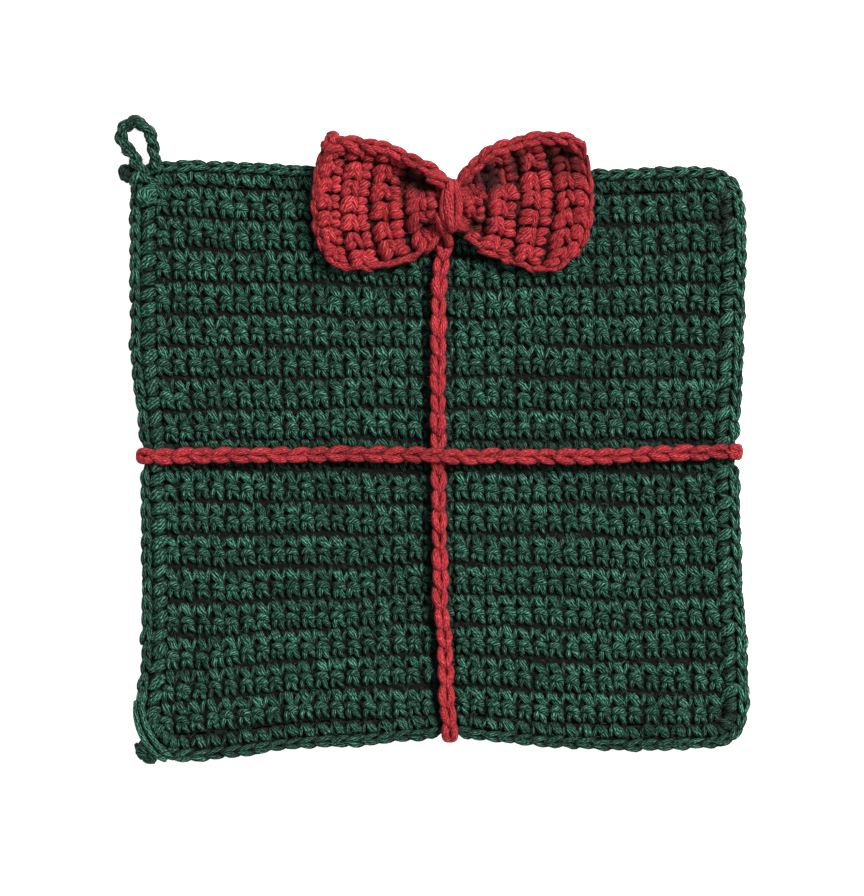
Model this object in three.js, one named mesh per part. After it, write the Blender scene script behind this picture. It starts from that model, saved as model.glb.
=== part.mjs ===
// A crocheted trivet made up like a wrapped parcel: a square of single crochet with an edging
// round it, two chain ribbons that cross on its face, a pinched bow, and a hanging loop.
// Millimetres, +Z up. It lies on its back at z = 0, with the bow towards +Y.
// Each piece is a stock three.js geometry whose points are moved to their place by a function.

import * as THREE from "three";
import { mergeVertices } from "three/addons/utils/BufferGeometryUtils.js";

const smooth = THREE.MathUtils.smoothstep;
const mix = THREE.MathUtils.lerp;

// Driving sizes.
const GAP = 0.3; // between pieces that touch
const STITCH = 5.17; // width and height of one stitch
const COLUMNS = 36; // stitches across the panel
const ROWS = 34; // rows up the panel
const FABRIC = 5.2; // thickness of the crocheted fabric
const EDGING = 8.2; // width of the edging
const CORNERS = { topRight: 11, topLeft: 11, bottomLeft: 16, bottomRight: 11 }; // its outer radii
const RIBBON_WIDE = 5.4;
const RIBBON_THICK = 3.0;
const RIBBON_SQUEEZED = 2.0; // its thickness at the crossing and where it goes round an edge
const LOOP_WIDE = 3.7;
const LOOP_THICK = 3.4;
const BOW = { x: 4.4, y: 82.2, thick: 4.2 };
const BINDING_THICK = 2.2;

const HALF_WIDE = (COLUMNS * STITCH) / 2 + EDGING;
const HALF_HIGH = (ROWS * STITCH) / 2 + EDGING;
const FACE = FABRIC + GAP; // the height at which things lie on the fabric

// How far each outer edge strays outwards from the true square, at places along that edge.
const LEFT_STRAY = [
  { along: -96, out: -1.0 },
  { along: -80, out: -1.0 },
  { along: -67, out: -3.0 },
  { along: -41, out: -3.5 },
  { along: -14, out: -3.0 },
  { along: 12, out: -2.2 },
  { along: 28, out: 0.0 },
  { along: 55, out: 0.5 },
  { along: 96, out: 0.5 },
];
const RIGHT_STRAY = [
  { along: -96, out: 0.0 },
  { along: -81, out: 1.0 },
  { along: -62, out: 0.4 },
  { along: -41, out: -1.0 },
  { along: 3, out: -2.6 },
  { along: 25, out: -1.3 },
  { along: 45, out: -0.3 },
  { along: 71, out: 0.6 },
  { along: 96, out: -1.0 },
];
const TOP_STRAY = [
  { along: -101, out: 1.0 },
  { along: -80, out: 1.6 },
  { along: -42, out: -0.1 },
  { along: 5, out: -1.5 },
  { along: 50, out: -1.4 },
  { along: 83, out: -0.8 },
  { along: 101, out: -2.5 },
];
const BOTTOM_STRAY = [
  { along: -101, out: 5.0 },
  { along: -82, out: 4.5 },
  { along: -62, out: 2.2 },
  { along: -45, out: 0.3 },
  { along: -25, out: -0.4 },
  { along: 3, out: -2.7 },
  { along: 37, out: 0.0 },
  { along: 63, out: 1.3 },
  { along: 101, out: 0.0 },
];

// The ribbons' routes: how far each sways from a straight line, at places along it.
const ACROSS_SWAY = [
  { along: -99, sway: 0.0 },
  { along: -77, sway: 0.0 },
  { along: -46, sway: 0.5 },
  { along: -13, sway: 0.5 },
  { along: 4, sway: -0.1 },
  { along: 57, sway: -0.1 },
  { along: 74, sway: 0.8 },
  { along: 99, sway: 1.4 },
];
const DOWN_SWAY = [
  { along: -96, sway: 3.9 },
  { along: -88, sway: 3.6 },
  { along: -78, sway: 2.7 },
  { along: -62, sway: 2.2 },
  { along: -50, sway: 1.1 },
  { along: -20, sway: 0.5 },
  { along: 0, sway: 0.0 },
  { along: 45, sway: 0.1 },
  { along: 60, sway: 0.8 },
  { along: 73, sway: 2.4 },
];

// The smooth value of a table's column at a place in its ordering column.
function read(table, column, at, order = "along") {
  const last = table.length - 1;
  const place = THREE.MathUtils.clamp(at, table[0][order], table[last][order]);
  let i = 0;
  while (i < last - 1 && place > table[i + 1][order]) i++;
  const slope = (k) => {
    const before = table[Math.max(k - 1, 0)];
    const after = table[Math.min(k + 1, last)];
    return (after[column] - before[column]) / (after[order] - before[order]);
  };
  const [from, to] = [table[i], table[i + 1]];
  const span = to[order] - from[order];
  const f = (place - from[order]) / span;
  const rise = f * f * (3 - 2 * f) * (to[column] - from[column]);
  const startPull = f * (1 - f) * (1 - f) * span * slope(i);
  const endPull = f * f * (1 - f) * span * slope(i + 1);
  return from[column] + rise + startPull - endPull;
}

// Where a point of the true square lies on the uneven fabric.
const STRAY_POWER = 1.5; // how quickly an edge's stray dies away inside the fabric
function onFabric(x, y) {
  const side = read(x < 0 ? LEFT_STRAY : RIGHT_STRAY, "out", y);
  const end = read(y < 0 ? BOTTOM_STRAY : TOP_STRAY, "out", x);
  const sideShare = Math.abs(x / HALF_WIDE) ** STRAY_POWER;
  const endShare = Math.abs(y / HALF_HIGH) ** STRAY_POWER;
  return new THREE.Vector2(x + Math.sign(x) * side * sideShare, y + Math.sign(y) * end * endShare);
}

// Moves every point of a stock geometry. place gets the point and its u and v on the surface.
function shaped(geometry, place) {
  const points = geometry.attributes.position;
  const uvs = geometry.attributes.uv;
  const point = new THREE.Vector3();
  for (let i = 0; i < points.count; i++) {
    point.fromBufferAttribute(points, i);
    place(point, uvs.getX(i), uvs.getY(i));
    points.setXYZ(i, point.x, point.y, point.z);
  }
  geometry.deleteAttribute("normal");
  geometry.deleteAttribute("uv");
  const merged = mergeVertices(geometry, 1e-4);
  merged.computeVertexNormals();
  return merged;
}

// The work is turned after each row, so rows show in pairs: legs, then bars. The relief of a
// pair is read downwards, as the depth below the crest in front and behind.
const PAIR_RELIEF = [
  { front: 1.4, back: 0.0 },
  { front: 0.0, back: 0.0 },
  { front: 0.6, back: 1.2 },
  { front: 0.1, back: 0.0 },
];
const PANEL_STEPS_ACROSS = 14;

// The panel, a flat square of fabric with a rib for each row.
function panel() {
  const wide = 2 * (HALF_WIDE - EDGING - GAP);
  const high = 2 * (HALF_HIGH - EDGING - GAP);
  const steps = (ROWS / 2) * PAIR_RELIEF.length;
  const block = new THREE.BoxGeometry(1, 1, 1, PANEL_STEPS_ACROSS, steps, 1);
  return shaped(block, (point) => {
    const step = Math.round((0.5 - point.y) * steps);
    const { front, back } = PAIR_RELIEF[step % PAIR_RELIEF.length];
    const flat = onFabric(point.x * wide, point.y * high);
    point.set(flat.x, flat.y, point.z > 0 ? FABRIC - front : back);
  });
}

// Where the ribbons pass over the edges they draw the edging in, and the bow's tie does too.
const DRAWN_FLAT = 3.3; // half the length that is drawn in fully
const DRAWN_SLOPE = 2.5;
const DRAWN_DOWN = 0.5; // how much its upper side is pressed down there
const DRAWN_IN = 1.6;
const DRAWN_IN_AT_BOW = 3.4;
// One tie on each side, in the order right, top, left, bottom.
const TIES = [
  { x: HALF_WIDE, y: read(ACROSS_SWAY, "sway", HALF_WIDE), inwards: DRAWN_IN, reach: 1 },
  { x: BOW.x, y: HALF_HIGH, inwards: DRAWN_IN_AT_BOW, reach: 3 },
  { x: -HALF_WIDE, y: read(ACROSS_SWAY, "sway", -HALF_WIDE), inwards: DRAWN_IN, reach: 1 },
  { x: read(DOWN_SWAY, "sway", -HALF_HIGH), y: -HALF_HIGH, inwards: DRAWN_IN, reach: 1 },
];

// How far the edging is drawn inwards and down at a point of its outer line.
function drawn(x, y) {
  let inwards = 0;
  let down = 0;
  for (const tie of TIES) {
    const away = Math.hypot(x - tie.x, y - tie.y);
    const share = 1 - smooth(away, DRAWN_FLAT, DRAWN_FLAT + DRAWN_SLOPE * tie.reach);
    inwards += share * tie.inwards;
    down += share * DRAWN_DOWN;
  }
  return { inwards, down };
}

// A point on a rectangle with round corners. side counts anticlockwise from the right one, run
// is the share of that side's straight part, and turn the share of the corner that follows it.
// The radii start at the top right corner.
function onRoundedBox({ side, run, turn }, halfWide, halfHigh, radii) {
  const [out, along] = side % 2 ? [halfHigh, halfWide] : [halfWide, halfHigh];
  const radius = radii[side];
  const from = radii[(side + 3) % 4] - along;
  const point = new THREE.Vector2(out, mix(from, along - radius, run));
  const angle = (turn * Math.PI) / 2;
  point.x += radius * (Math.cos(angle) - 1);
  point.y += radius * Math.sin(angle);
  return point.rotateAround(new THREE.Vector2(), (side * Math.PI) / 2);
}

// The steps round a closed path, from the runs along each side and the steps of a corner.
function stepsAround(runsOf, cornerSteps) {
  return [0, 1, 2, 3].flatMap((side) => {
    const straight = runsOf(side).map((run) => ({ side, run, turn: 0 }));
    const corner = Array.from({ length: cornerSteps - 1 }, (_, i) => {
      return { side, run: 1, turn: (i + 1) / cornerSteps };
    });
    return [...straight, ...corner];
  });
}

function evenly(count) {
  return Array.from({ length: count + 1 }, (_, i) => i / count);
}

// The edging's section, from its outermost point over the top: chain, groove, legs, underside.
const EDGING_SECTION = [
  { out: 8.2, z: 2.6 },
  { out: 7.7, z: 4.3 },
  { out: 6.4, z: 5.2 },
  { out: 4.5, z: 4.0 },
  { out: 2.6, z: 4.9 },
  { out: 0.0, z: 3.8 },
  { out: 0.0, z: 0.7 },
  { out: 1.6, z: 0.0 },
  { out: 6.6, z: 0.0 },
  { out: 7.8, z: 0.9 },
];
const EDGING_STEPS = 28; // along each side
const EDGING_CORNER_STEPS = 5;
const INNER_CORNERS = [0.3, 0.3, 0.3, 0.3];
const OUTER_CORNERS = [CORNERS.topRight, CORNERS.topLeft, CORNERS.bottomLeft, CORNERS.bottomRight];

// The runs along one side of the edging: even ones, but round its tie the ends of what is drawn.
function edgingRuns(side) {
  const tie = TIES[side];
  const half = side % 2 ? HALF_WIDE : HALF_HIGH;
  const before = OUTER_CORNERS[(side + 3) % 4];
  const length = 2 * half - before - OUTER_CORNERS[side];
  const along = [tie.y, -tie.x, -tie.y, tie.x][side];
  const middle = (along + half - before) / length;
  const ends = [DRAWN_FLAT, DRAWN_FLAT + DRAWN_SLOPE * tie.reach].map((away) => away / length);
  const clear = ends[1] + 0.4 / EDGING_STEPS;
  const even = evenly(EDGING_STEPS).filter((run) => Math.abs(run - middle) > clear);
  return [...even, ...ends.flatMap((away) => [middle - away, middle + away])].sort((a, b) => a - b);
}

function edging() {
  const steps = stepsAround(edgingRuns, EDGING_CORNER_STEPS);
  const around = steps.length;
  const section = EDGING_SECTION.length;
  const [halfWide, halfHigh] = [HALF_WIDE - EDGING, HALF_HIGH - EDGING];
  return shaped(new THREE.TorusGeometry(2, 1, section, around), (point, u, v) => {
    const step = steps[Math.round(u * around) % around];
    const { out, z } = EDGING_SECTION[Math.round(v * section) % section];
    const inner = onRoundedBox(step, halfWide, halfHigh, INNER_CORNERS);
    const outer = onRoundedBox(step, HALF_WIDE, HALF_HIGH, OUTER_CORNERS);
    const pull = drawn(outer.x, outer.y);
    const share = (out / EDGING) * (1 - pull.inwards / EDGING);
    const flat = onFabric(inner.x, inner.y).lerp(onFabric(outer.x, outer.y), share);
    point.set(flat.x, flat.y, z > FABRIC / 2 ? z - pull.down : z);
  });
}

// A chain's section, from its upper middle round its right side: two strands over a flat back.
const CHAIN_SECTION = [
  { side: 0.0, up: 0.55 },
  { side: 0.5, up: 1.0 },
  { side: 1.0, up: 0.1 },
  { side: 0.7, up: -1.0 },
  { side: 0.0, up: -1.0 },
  { side: -0.7, up: -1.0 },
  { side: -1.0, up: 0.1 },
  { side: -0.5, up: 1.0 },
];
const CHAIN_SWELL = [0.9, 1.04]; // each stitch's neck and its belly, as shares of the width

// A cord through stations, each with its centre, width and thickness. sideways gives the
// direction of its width for a direction of travel.
function cord(stations, sideways) {
  const sides = CHAIN_SECTION.length;
  const steps = stations.length - 1;
  const rod = new THREE.CylinderGeometry(1, 1, 1, sides, steps);
  return shaped(rod, (point) => {
    const i = Math.round((point.y + 0.5) * steps);
    const { centre, wide, thick } = stations[i];
    const along = stations[Math.min(i + 1, steps)].centre.clone();
    along.sub(stations[Math.max(i - 1, 0)].centre).normalize();
    const side = sideways(along);
    const up = new THREE.Vector3().crossVectors(side, along);
    const turn = Math.atan2(point.x, point.z) / (2 * Math.PI);
    const corner = CHAIN_SECTION[(Math.round(turn * sides) + sides) % sides];
    const reach = Math.hypot(point.x, point.z) > 0.5 ? 1 : 0; // 0 at the middle of an end
    point.copy(centre);
    point.addScaledVector(side, (reach * corner.side * wide) / 2);
    point.addScaledVector(up, (reach * corner.up * thick) / 2);
  });
}

// The stations of a ribbon's fold round an edge, outermost last. Each is so far out from the
// edging's outermost point, and at turns a distance outwards and a height into a place.
const FOLD = [
  { out: -1.9, z: FACE + RIBBON_SQUEEZED / 2 },
  { out: 0.4, z: FACE + 0.4 },
  { out: GAP + RIBBON_SQUEEZED / 2, z: FABRIC - 0.9 },
  { out: GAP + RIBBON_SQUEEZED / 2, z: FABRIC / 2 },
  { out: GAP + RIBBON_SQUEEZED / 2, z: 0.9 },
];
function fold(edge, at) {
  return FOLD.map(({ out, z }) => {
    return { centre: at(edge + out, z), wide: RIBBON_WIDE, thick: RIBBON_SQUEEZED };
  });
}
const FOLD_START = 5; // how far inside the edge the flat part of a ribbon ends
const THINNING = 6; // the length over which a ribbon thins

// Half a stitch at a time, the places between two ends, each with its share of the swelling.
function halfStitches(from, to) {
  const count = 2 * Math.round((to - from) / STITCH);
  return Array.from({ length: count + 1 }, (_, i) => {
    return { at: mix(from, to, i / count), swell: CHAIN_SWELL[i % 2] };
  });
}

const CROSSING = { x: read(DOWN_SWAY, "sway", 0), y: read(ACROSS_SWAY, "sway", 0) };
const CROSSING_FLAT = 4; // half the length over which one ribbon clears the other
const CROSSING_SLOPE = 7;
function atCrossing(away) {
  return 1 - smooth(Math.abs(away), CROSSING_FLAT, CROSSING_FLAT + CROSSING_SLOPE);
}

// The ribbon from side to side, which passes over the other one and round both edges.
function ribbonAcross() {
  const [left, right] = [-1, 1].map((side) => {
    const y = read(ACROSS_SWAY, "sway", side * HALF_WIDE);
    const edge = Math.abs(onFabric(side * HALF_WIDE, y).x) - DRAWN_IN;
    return { edge, at: (out, z) => new THREE.Vector3(side * out, y, z) };
  });
  const from = FOLD_START - left.edge;
  const to = right.edge - FOLD_START;
  const face = halfStitches(from, to).map(({ at: x, swell }) => {
    const thinned = 1 - smooth(Math.min(x - from, to - x), 0, THINNING);
    const thick = mix(RIBBON_THICK, RIBBON_SQUEEZED, thinned);
    const lift = atCrossing(x - CROSSING.x) * (RIBBON_SQUEEZED + GAP);
    const z = FACE + lift + thick / 2;
    const centre = new THREE.Vector3(x, read(ACROSS_SWAY, "sway", x), z);
    return { centre, wide: RIBBON_WIDE * swell, thick };
  });
  const stations = [...fold(left.edge, left.at).reverse(), ...face, ...fold(right.edge, right.at)];
  return cord(stations, () => new THREE.Vector3(0, -1, 0));
}

const TUCKED = 0.7; // how far the lower ribbon goes in under the binding's rounded side

// The ribbon from under the bow to the bottom edge, which passes under the other one.
function ribbonDown() {
  const x = read(DOWN_SWAY, "sway", -HALF_HIGH);
  const edge = Math.abs(onFabric(x, -HALF_HIGH).y) - DRAWN_IN;
  const from = FOLD_START - edge;
  const to = BOW.y - BINDING.halfHigh - BINDING_THICK + TUCKED;
  const face = halfStitches(from, to).map(({ at: y, swell }) => {
    const thinned = 1 - smooth(Math.min(y - from, to - y), 0, THINNING);
    const squeezed = Math.max(thinned, atCrossing(y - CROSSING.y));
    const thick = mix(RIBBON_THICK, RIBBON_SQUEEZED, squeezed);
    const centre = new THREE.Vector3(read(DOWN_SWAY, "sway", y), y, FACE + thick / 2);
    return { centre, wide: RIBBON_WIDE * swell, thick };
  });
  const bottom = fold(edge, (out, z) => new THREE.Vector3(x, -out, z)).reverse();
  return cord([...bottom, ...face], () => new THREE.Vector3(1, 0, 0));
}

// The hanging loop's route, from its foot on the top edge round to its foot at the corner.
const LOOP_ROUTE = [
  { x: -93.2, y: 97.6 },
  { x: -93.9, y: 101.6 },
  { x: -94.4, y: 105.3 },
  { x: -96.2, y: 108.4 },
  { x: -99.6, y: 110.1 },
  { x: -103.3, y: 109.4 },
  { x: -105.2, y: 106.6 },
  { x: -104.8, y: 103.4 },
  { x: -102.9, y: 100.6 },
  { x: -100.8, y: 98.0 },
  { x: -99.0, y: 94.7 },
];
const LOOP_HEIGHT = 2.6; // of its middle
const LOOP_STEPS = 22;

function acrossWhenFlat(along) {
  return new THREE.Vector3().crossVectors(along, new THREE.Vector3(0, 0, 1)).normalize();
}

function hangingLoop() {
  const route = LOOP_ROUTE.map(({ x, y }) => new THREE.Vector3(x, y, LOOP_HEIGHT));
  const centres = new THREE.CatmullRomCurve3(route).getSpacedPoints(LOOP_STEPS);
  const stations = centres.map((centre, i) => {
    return { centre, wide: LOOP_WIDE * CHAIN_SWELL[i % 2], thick: LOOP_THICK };
  });
  return cord(stations, acrossWhenFlat);
}

// A cut and frayed end of yarn, a short tuft that widens from its root.
const TUFT = [
  { share: 0.0, part: 0.55 },
  { share: 0.35, part: 0.95 },
  { share: 0.75, part: 1.0 },
  { share: 1.0, part: 0.6 },
];
const TUFT_HEIGHT = 2.4; // of its middle
function yarnEnd({ root, tip, wide, thick }) {
  const from = new THREE.Vector3(root.x, root.y, TUFT_HEIGHT);
  const to = new THREE.Vector3(tip.x, tip.y, TUFT_HEIGHT);
  const stations = TUFT.map(({ share, part }) => {
    return { centre: from.clone().lerp(to, share), wide: wide * part, thick: thick * part };
  });
  return cord(stations, acrossWhenFlat);
}

// The bow, a strip of ribbed fabric drawn together at its middle. Each section has its place
// along the bow, the height of its two edges up the panel, and the height of its face above
// the table on five lines from its lower edge to its upper one.
const BOW_SECTIONS = [
  { along: -45.7, bottom: -17.0, top: 19.5, hem: 11.0, hollow: 11.0, ridge: 11.6, pocket: 11.4, rim: 12.0 },
  { along: -38.0, bottom: -20.9, top: 21.9, hem: 10.3, hollow: 10.3, ridge: 10.8, pocket: 10.6, rim: 12.4 },
  { along: -28.0, bottom: -20.9, top: 22.0, hem: 10.0, hollow: 10.1, ridge: 10.8, pocket: 10.2, rim: 13.6 },
  { along: -21.0, bottom: -20.0, top: 20.8, hem: 10.0, hollow: 10.2, ridge: 11.8, pocket: 10.0, rim: 15.0 },
  { along: -14.0, bottom: -18.0, top: 17.8, hem: 10.4, hollow: 10.4, ridge: 14.2, pocket: 9.9, rim: 16.2 },
  { along: -8.0, bottom: -13.8, top: 14.2, hem: 11.6, hollow: 10.6, ridge: 16.4, pocket: 9.9, rim: 16.8 },
  { along: -5.2, bottom: -11.2, top: 11.8, hem: 12.6, hollow: 10.8, ridge: 16.9, pocket: 10.4, rim: 16.6 },
  { along: -4.1, bottom: -7.3, top: 7.3, hem: 13.0, hollow: 14.0, ridge: 16.6, pocket: 14.0, rim: 14.0 },
  { along: 0.0, bottom: -7.2, top: 7.2, hem: 14.0, hollow: 16.0, ridge: 16.6, pocket: 16.0, rim: 14.0 },
  { along: 4.1, bottom: -7.3, top: 7.3, hem: 13.0, hollow: 14.0, ridge: 16.6, pocket: 14.0, rim: 14.0 },
  { along: 5.2, bottom: -11.0, top: 12.6, hem: 13.0, hollow: 10.8, ridge: 16.9, pocket: 10.4, rim: 16.4 },
  { along: 8.5, bottom: -14.0, top: 17.2, hem: 12.0, hollow: 10.4, ridge: 16.2, pocket: 9.9, rim: 16.6 },
  { along: 14.0, bottom: -17.0, top: 21.0, hem: 11.0, hollow: 10.4, ridge: 14.2, pocket: 9.9, rim: 16.4 },
  { along: 21.0, bottom: -19.6, top: 23.8, hem: 10.4, hollow: 10.4, ridge: 12.4, pocket: 10.0, rim: 16.0 },
  { along: 28.0, bottom: -21.8, top: 25.2, hem: 10.0, hollow: 10.2, ridge: 11.2, pocket: 10.0, rim: 15.6 },
  { along: 36.0, bottom: -21.2, top: 25.4, hem: 10.0, hollow: 10.2, ridge: 10.8, pocket: 10.2, rim: 15.8 },
  { along: 42.0, bottom: -17.8, top: 24.2, hem: 10.4, hollow: 10.6, ridge: 11.2, pocket: 11.0, rim: 15.4 },
  { along: 47.0, bottom: -13.5, top: 20.0, hem: 11.4, hollow: 12.0, ridge: 12.6, pocket: 12.6, rim: 14.0 },
];
const BOW_LINES = ["hem", "hollow", "ridge", "pocket", "rim"];
// The furrows between pairs of rows, which run up and down each side of the bow.
const BOW_FURROWS = {
  left: [-45.7, -37.5, -27.6, -16.7, -5.2],
  right: [5.2, 11.4, 22.6, 33.5, 47],
};
const BOW_RELIEF = [1.0, 0.0, 0.4, 0.0]; // depth below the crest over one pair of rows
const BOW_HALF = 46;
const BOW_SIDE_CURVE = 4.2; // how far the ends of its sides are drawn in
const BOW_STEPS_UP = 12;
const BUNDLE_THICK = 8.5; // of the folds gathered under the binding
const BUNDLE_ROUND = 1.4; // how much thinner the bundle is at its two sides
const BUNDLE_END = 7; // half the length over which they are gathered
const SINGLE_START = 14; // from here outwards the bow is single fabric again

// The binding: half its opening's height and thickness, and the height of its middle.
const BINDING = { halfHigh: 7.7, halfThick: 4.65, middle: FACE + BINDING_THICK + 4.65 };
const BINDING_CORNER = 2.5;
const BINDING_STEPS = 2;
const BINDING_CORNER_STEPS = 3;
const BINDING_SECTION = [
  { out: BINDING_THICK, side: 0.0 },
  { out: 1.5, side: 1.2 },
  { out: BINDING_THICK, side: 2.5 },
  { out: 1.2, side: 3.7 },
  { out: 0.0, side: 3.7 },
  { out: 0.0, side: -3.7 },
  { out: 1.2, side: -3.7 },
  { out: BINDING_THICK, side: -2.5 },
  { out: 1.5, side: -1.2 },
];

// The steps along one side of the bow, each with its place and its depth in the ribs.
function ribSteps(furrows) {
  return furrows.slice(0, -1).flatMap((from, i) => {
    return BOW_RELIEF.map((sunk, k) => {
      return { along: mix(from, furrows[i + 1], k / BOW_RELIEF.length), sunk };
    });
  });
}

function bow() {
  const waist = [-5.2, -4.1, 0, 4.1].map((along) => ({ along, sunk: 0 }));
  const end = { along: BOW_FURROWS.right.at(-1), sunk: 0 };
  const steps = [...ribSteps(BOW_FURROWS.left), ...waist, ...ribSteps(BOW_FURROWS.right), end];
  const count = steps.length - 1;
  return shaped(new THREE.BoxGeometry(1, 1, 1, count, BOW_STEPS_UP, 1), (point) => {
    const { along, sunk } = steps[Math.round((point.x + 0.5) * count)];
    const up = 2 * point.y;
    const lines = BOW_LINES.map((line, i) => {
      return { up: i / 2 - 1, height: read(BOW_SECTIONS, line, along) };
    });
    const height = read(lines, "height", up, "up");
    const gathered = 1 - smooth(Math.abs(along), BUNDLE_END, SINGLE_START);
    const bundleBack = BINDING.middle - BINDING.halfThick + GAP + BUNDLE_ROUND * up ** 4;
    const seat = mix(FACE + 0.1, bundleBack, gathered);
    const thick = mix(BOW.thick, BUNDLE_THICK, gathered);
    const top = read(BOW_SECTIONS, "top", along);
    const bottom = read(BOW_SECTIONS, "bottom", along);
    const drawnIn = BOW_SIDE_CURVE * up * up * (along / BOW_HALF) ** 4;
    const back = Math.max(seat, height - thick + sunk / 2);
    point.x = BOW.x + along - Math.sign(along) * drawnIn;
    point.y = BOW.y + mix(bottom, top, (up + 1) / 2);
    point.z = point.z > 0 ? height - sunk : back;
  });
}

function binding() {
  const steps = stepsAround(() => evenly(BINDING_STEPS), BINDING_CORNER_STEPS);
  const around = steps.length;
  const section = BINDING_SECTION.length;
  return shaped(new THREE.TorusGeometry(2, 1, section, around), (point, u, v) => {
    const step = steps[Math.round(u * around) % around];
    const { out, side } = BINDING_SECTION[Math.round(v * section) % section];
    const [halfHigh, halfThick] = [BINDING.halfHigh + out, BINDING.halfThick + out];
    const corners = new Array(4).fill(BINDING_CORNER + out);
    const turn = onRoundedBox(step, halfHigh, halfThick, corners);
    point.set(BOW.x + side, BOW.y + turn.x, BINDING.middle + turn.y);
  });
}

const CORNER_END = {
  root: { x: -100.7, y: 92.1 },
  tip: { x: -105.2, y: 93.0 },
  wide: 3.6,
  thick: 3.6,
};
const FOOT_END = {
  root: { x: -95.1, y: -97.4 },
  tip: { x: -98.6, y: -100.5 },
  wide: 5.2,
  thick: 4.0,
};

const GREEN = new THREE.MeshStandardMaterial({ color: 0x1d5240, roughness: 0.85, metalness: 0 });
const RED = new THREE.MeshStandardMaterial({ color: 0xb02a30, roughness: 0.85, metalness: 0 });

const trivet = new THREE.Group();

function addPiece(name, geometry, material) {
  const mesh = new THREE.Mesh(geometry, material);
  mesh.name = name;
  trivet.add(mesh);
}

addPiece("panel", panel(), GREEN);
addPiece("edging", edging(), GREEN);
addPiece("hanging_loop", hangingLoop(), GREEN);
addPiece("yarn_end_corner", yarnEnd(CORNER_END), GREEN);
addPiece("yarn_end_foot", yarnEnd(FOOT_END), GREEN);
addPiece("ribbon_across", ribbonAcross(), RED);
addPiece("ribbon_down", ribbonDown(), RED);
addPiece("bow", bow(), RED);
addPiece("bow_binding", binding(), RED);

// The origin is the middle of the footprint, loop included.
const footprint = new THREE.Box3().setFromObject(trivet).getCenter(new THREE.Vector3());
trivet.position.set(-footprint.x, -footprint.y, 0);

export default trivet;
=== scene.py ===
# The looks of the crochet trivet. Every stitch is made of strands of twisted yarn. A stitch is
# drawn once, flat, as the points that its strands pass through, and its copies are laid in rows
# over the shapes of the CAD solids.
# Sizes here are millimetres from the middle of the square, +Y towards the bow and +Z up, and
# the finished meshes are moved into the frame and turned into metres.

import math

import bpy
import numpy as np
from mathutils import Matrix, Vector


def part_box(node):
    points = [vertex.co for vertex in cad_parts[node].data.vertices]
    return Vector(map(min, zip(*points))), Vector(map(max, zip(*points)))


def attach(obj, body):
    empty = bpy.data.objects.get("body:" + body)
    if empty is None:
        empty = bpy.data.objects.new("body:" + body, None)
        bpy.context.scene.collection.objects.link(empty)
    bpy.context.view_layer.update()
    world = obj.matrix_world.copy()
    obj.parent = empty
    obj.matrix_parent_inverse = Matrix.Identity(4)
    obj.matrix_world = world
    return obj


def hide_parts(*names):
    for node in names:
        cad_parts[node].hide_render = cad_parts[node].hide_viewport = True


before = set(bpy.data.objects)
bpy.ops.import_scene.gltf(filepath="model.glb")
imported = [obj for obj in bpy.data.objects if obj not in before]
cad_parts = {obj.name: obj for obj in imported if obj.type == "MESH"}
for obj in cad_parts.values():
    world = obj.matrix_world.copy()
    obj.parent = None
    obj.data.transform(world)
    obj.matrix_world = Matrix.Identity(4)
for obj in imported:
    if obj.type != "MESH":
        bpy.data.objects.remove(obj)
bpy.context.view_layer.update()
random = np.random.default_rng(7)

MM = 0.001
STITCH = 5.17  # width and height of one stitch
COLUMNS = 36
ROWS = 34
PAIR = 2 * STITCH  # the work is turned after each row, so rows show in pairs
FABRIC = 5.2  # thickness of the crocheted fabric
CREST = 0.45  # how far the middles of the stitches' crests lie inside the fabric
FACE = 5.5  # the height at which things lie on the fabric
EDGING = 8.2  # width of the edging
HALF_WIDE = COLUMNS * STITCH / 2 + EDGING
HALF_HIGH = ROWS * STITCH / 2 + EDGING
BOW_X = 4.4
BOW_Y = 82.2

# Where the drawing's origin lies in the frame: the binding is centred on the bow's middle.
binding_low, binding_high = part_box("bow_binding")
ORIGIN = np.array((binding_low + binding_high) / 2) / MM - (BOW_X, BOW_Y, 0)
ORIGIN[2] = 0


# Curves through tables of numbers


def read(places, values, at):
    """The smooth curve through rows of values at rising places, read at other places."""
    places = np.asarray(places, float)
    values = np.asarray(values, float).reshape(len(places), -1)
    last = len(places) - 1
    before = np.maximum(np.arange(last + 1) - 1, 0)
    after = np.minimum(np.arange(last + 1) + 1, last)
    slopes = (values[after] - values[before]) / (places[after] - places[before])[:, None]
    at = np.clip(np.asarray(at, float), places[0], places[-1])
    i = np.clip(np.searchsorted(places, at) - 1, 0, last - 1)
    span = (places[i + 1] - places[i])[..., None]
    f = (at - places[i])[..., None] / span
    rise = f * f * (3 - 2 * f) * (values[i + 1] - values[i])
    start_pull = f * (1 - f) ** 2 * span * slopes[i]
    end_pull = f * f * (1 - f) * span * slopes[i + 1]
    return values[i] + rise + start_pull - end_pull


def read_pairs(table, at):
    """The second column of a table of pairs, read smoothly at places in its first column."""
    places, values = zip(*table)
    return read(places, values, at)[..., 0]


def smooth(value, low, high):
    """0 below low, 1 above high, and a smooth step between them."""
    f = np.clip((value - low) / (high - low), 0, 1)
    return f * f * (3 - 2 * f)


def unit(vectors):
    return vectors / np.maximum(np.linalg.norm(vectors, axis=-1, keepdims=True), 1e-9)


def stacked(x, y, z):
    return np.stack(np.broadcast_arrays(x, y, z), axis=-1)


# The uneven square. Each pair is a place along an edge and how far the edge strays outwards.

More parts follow.
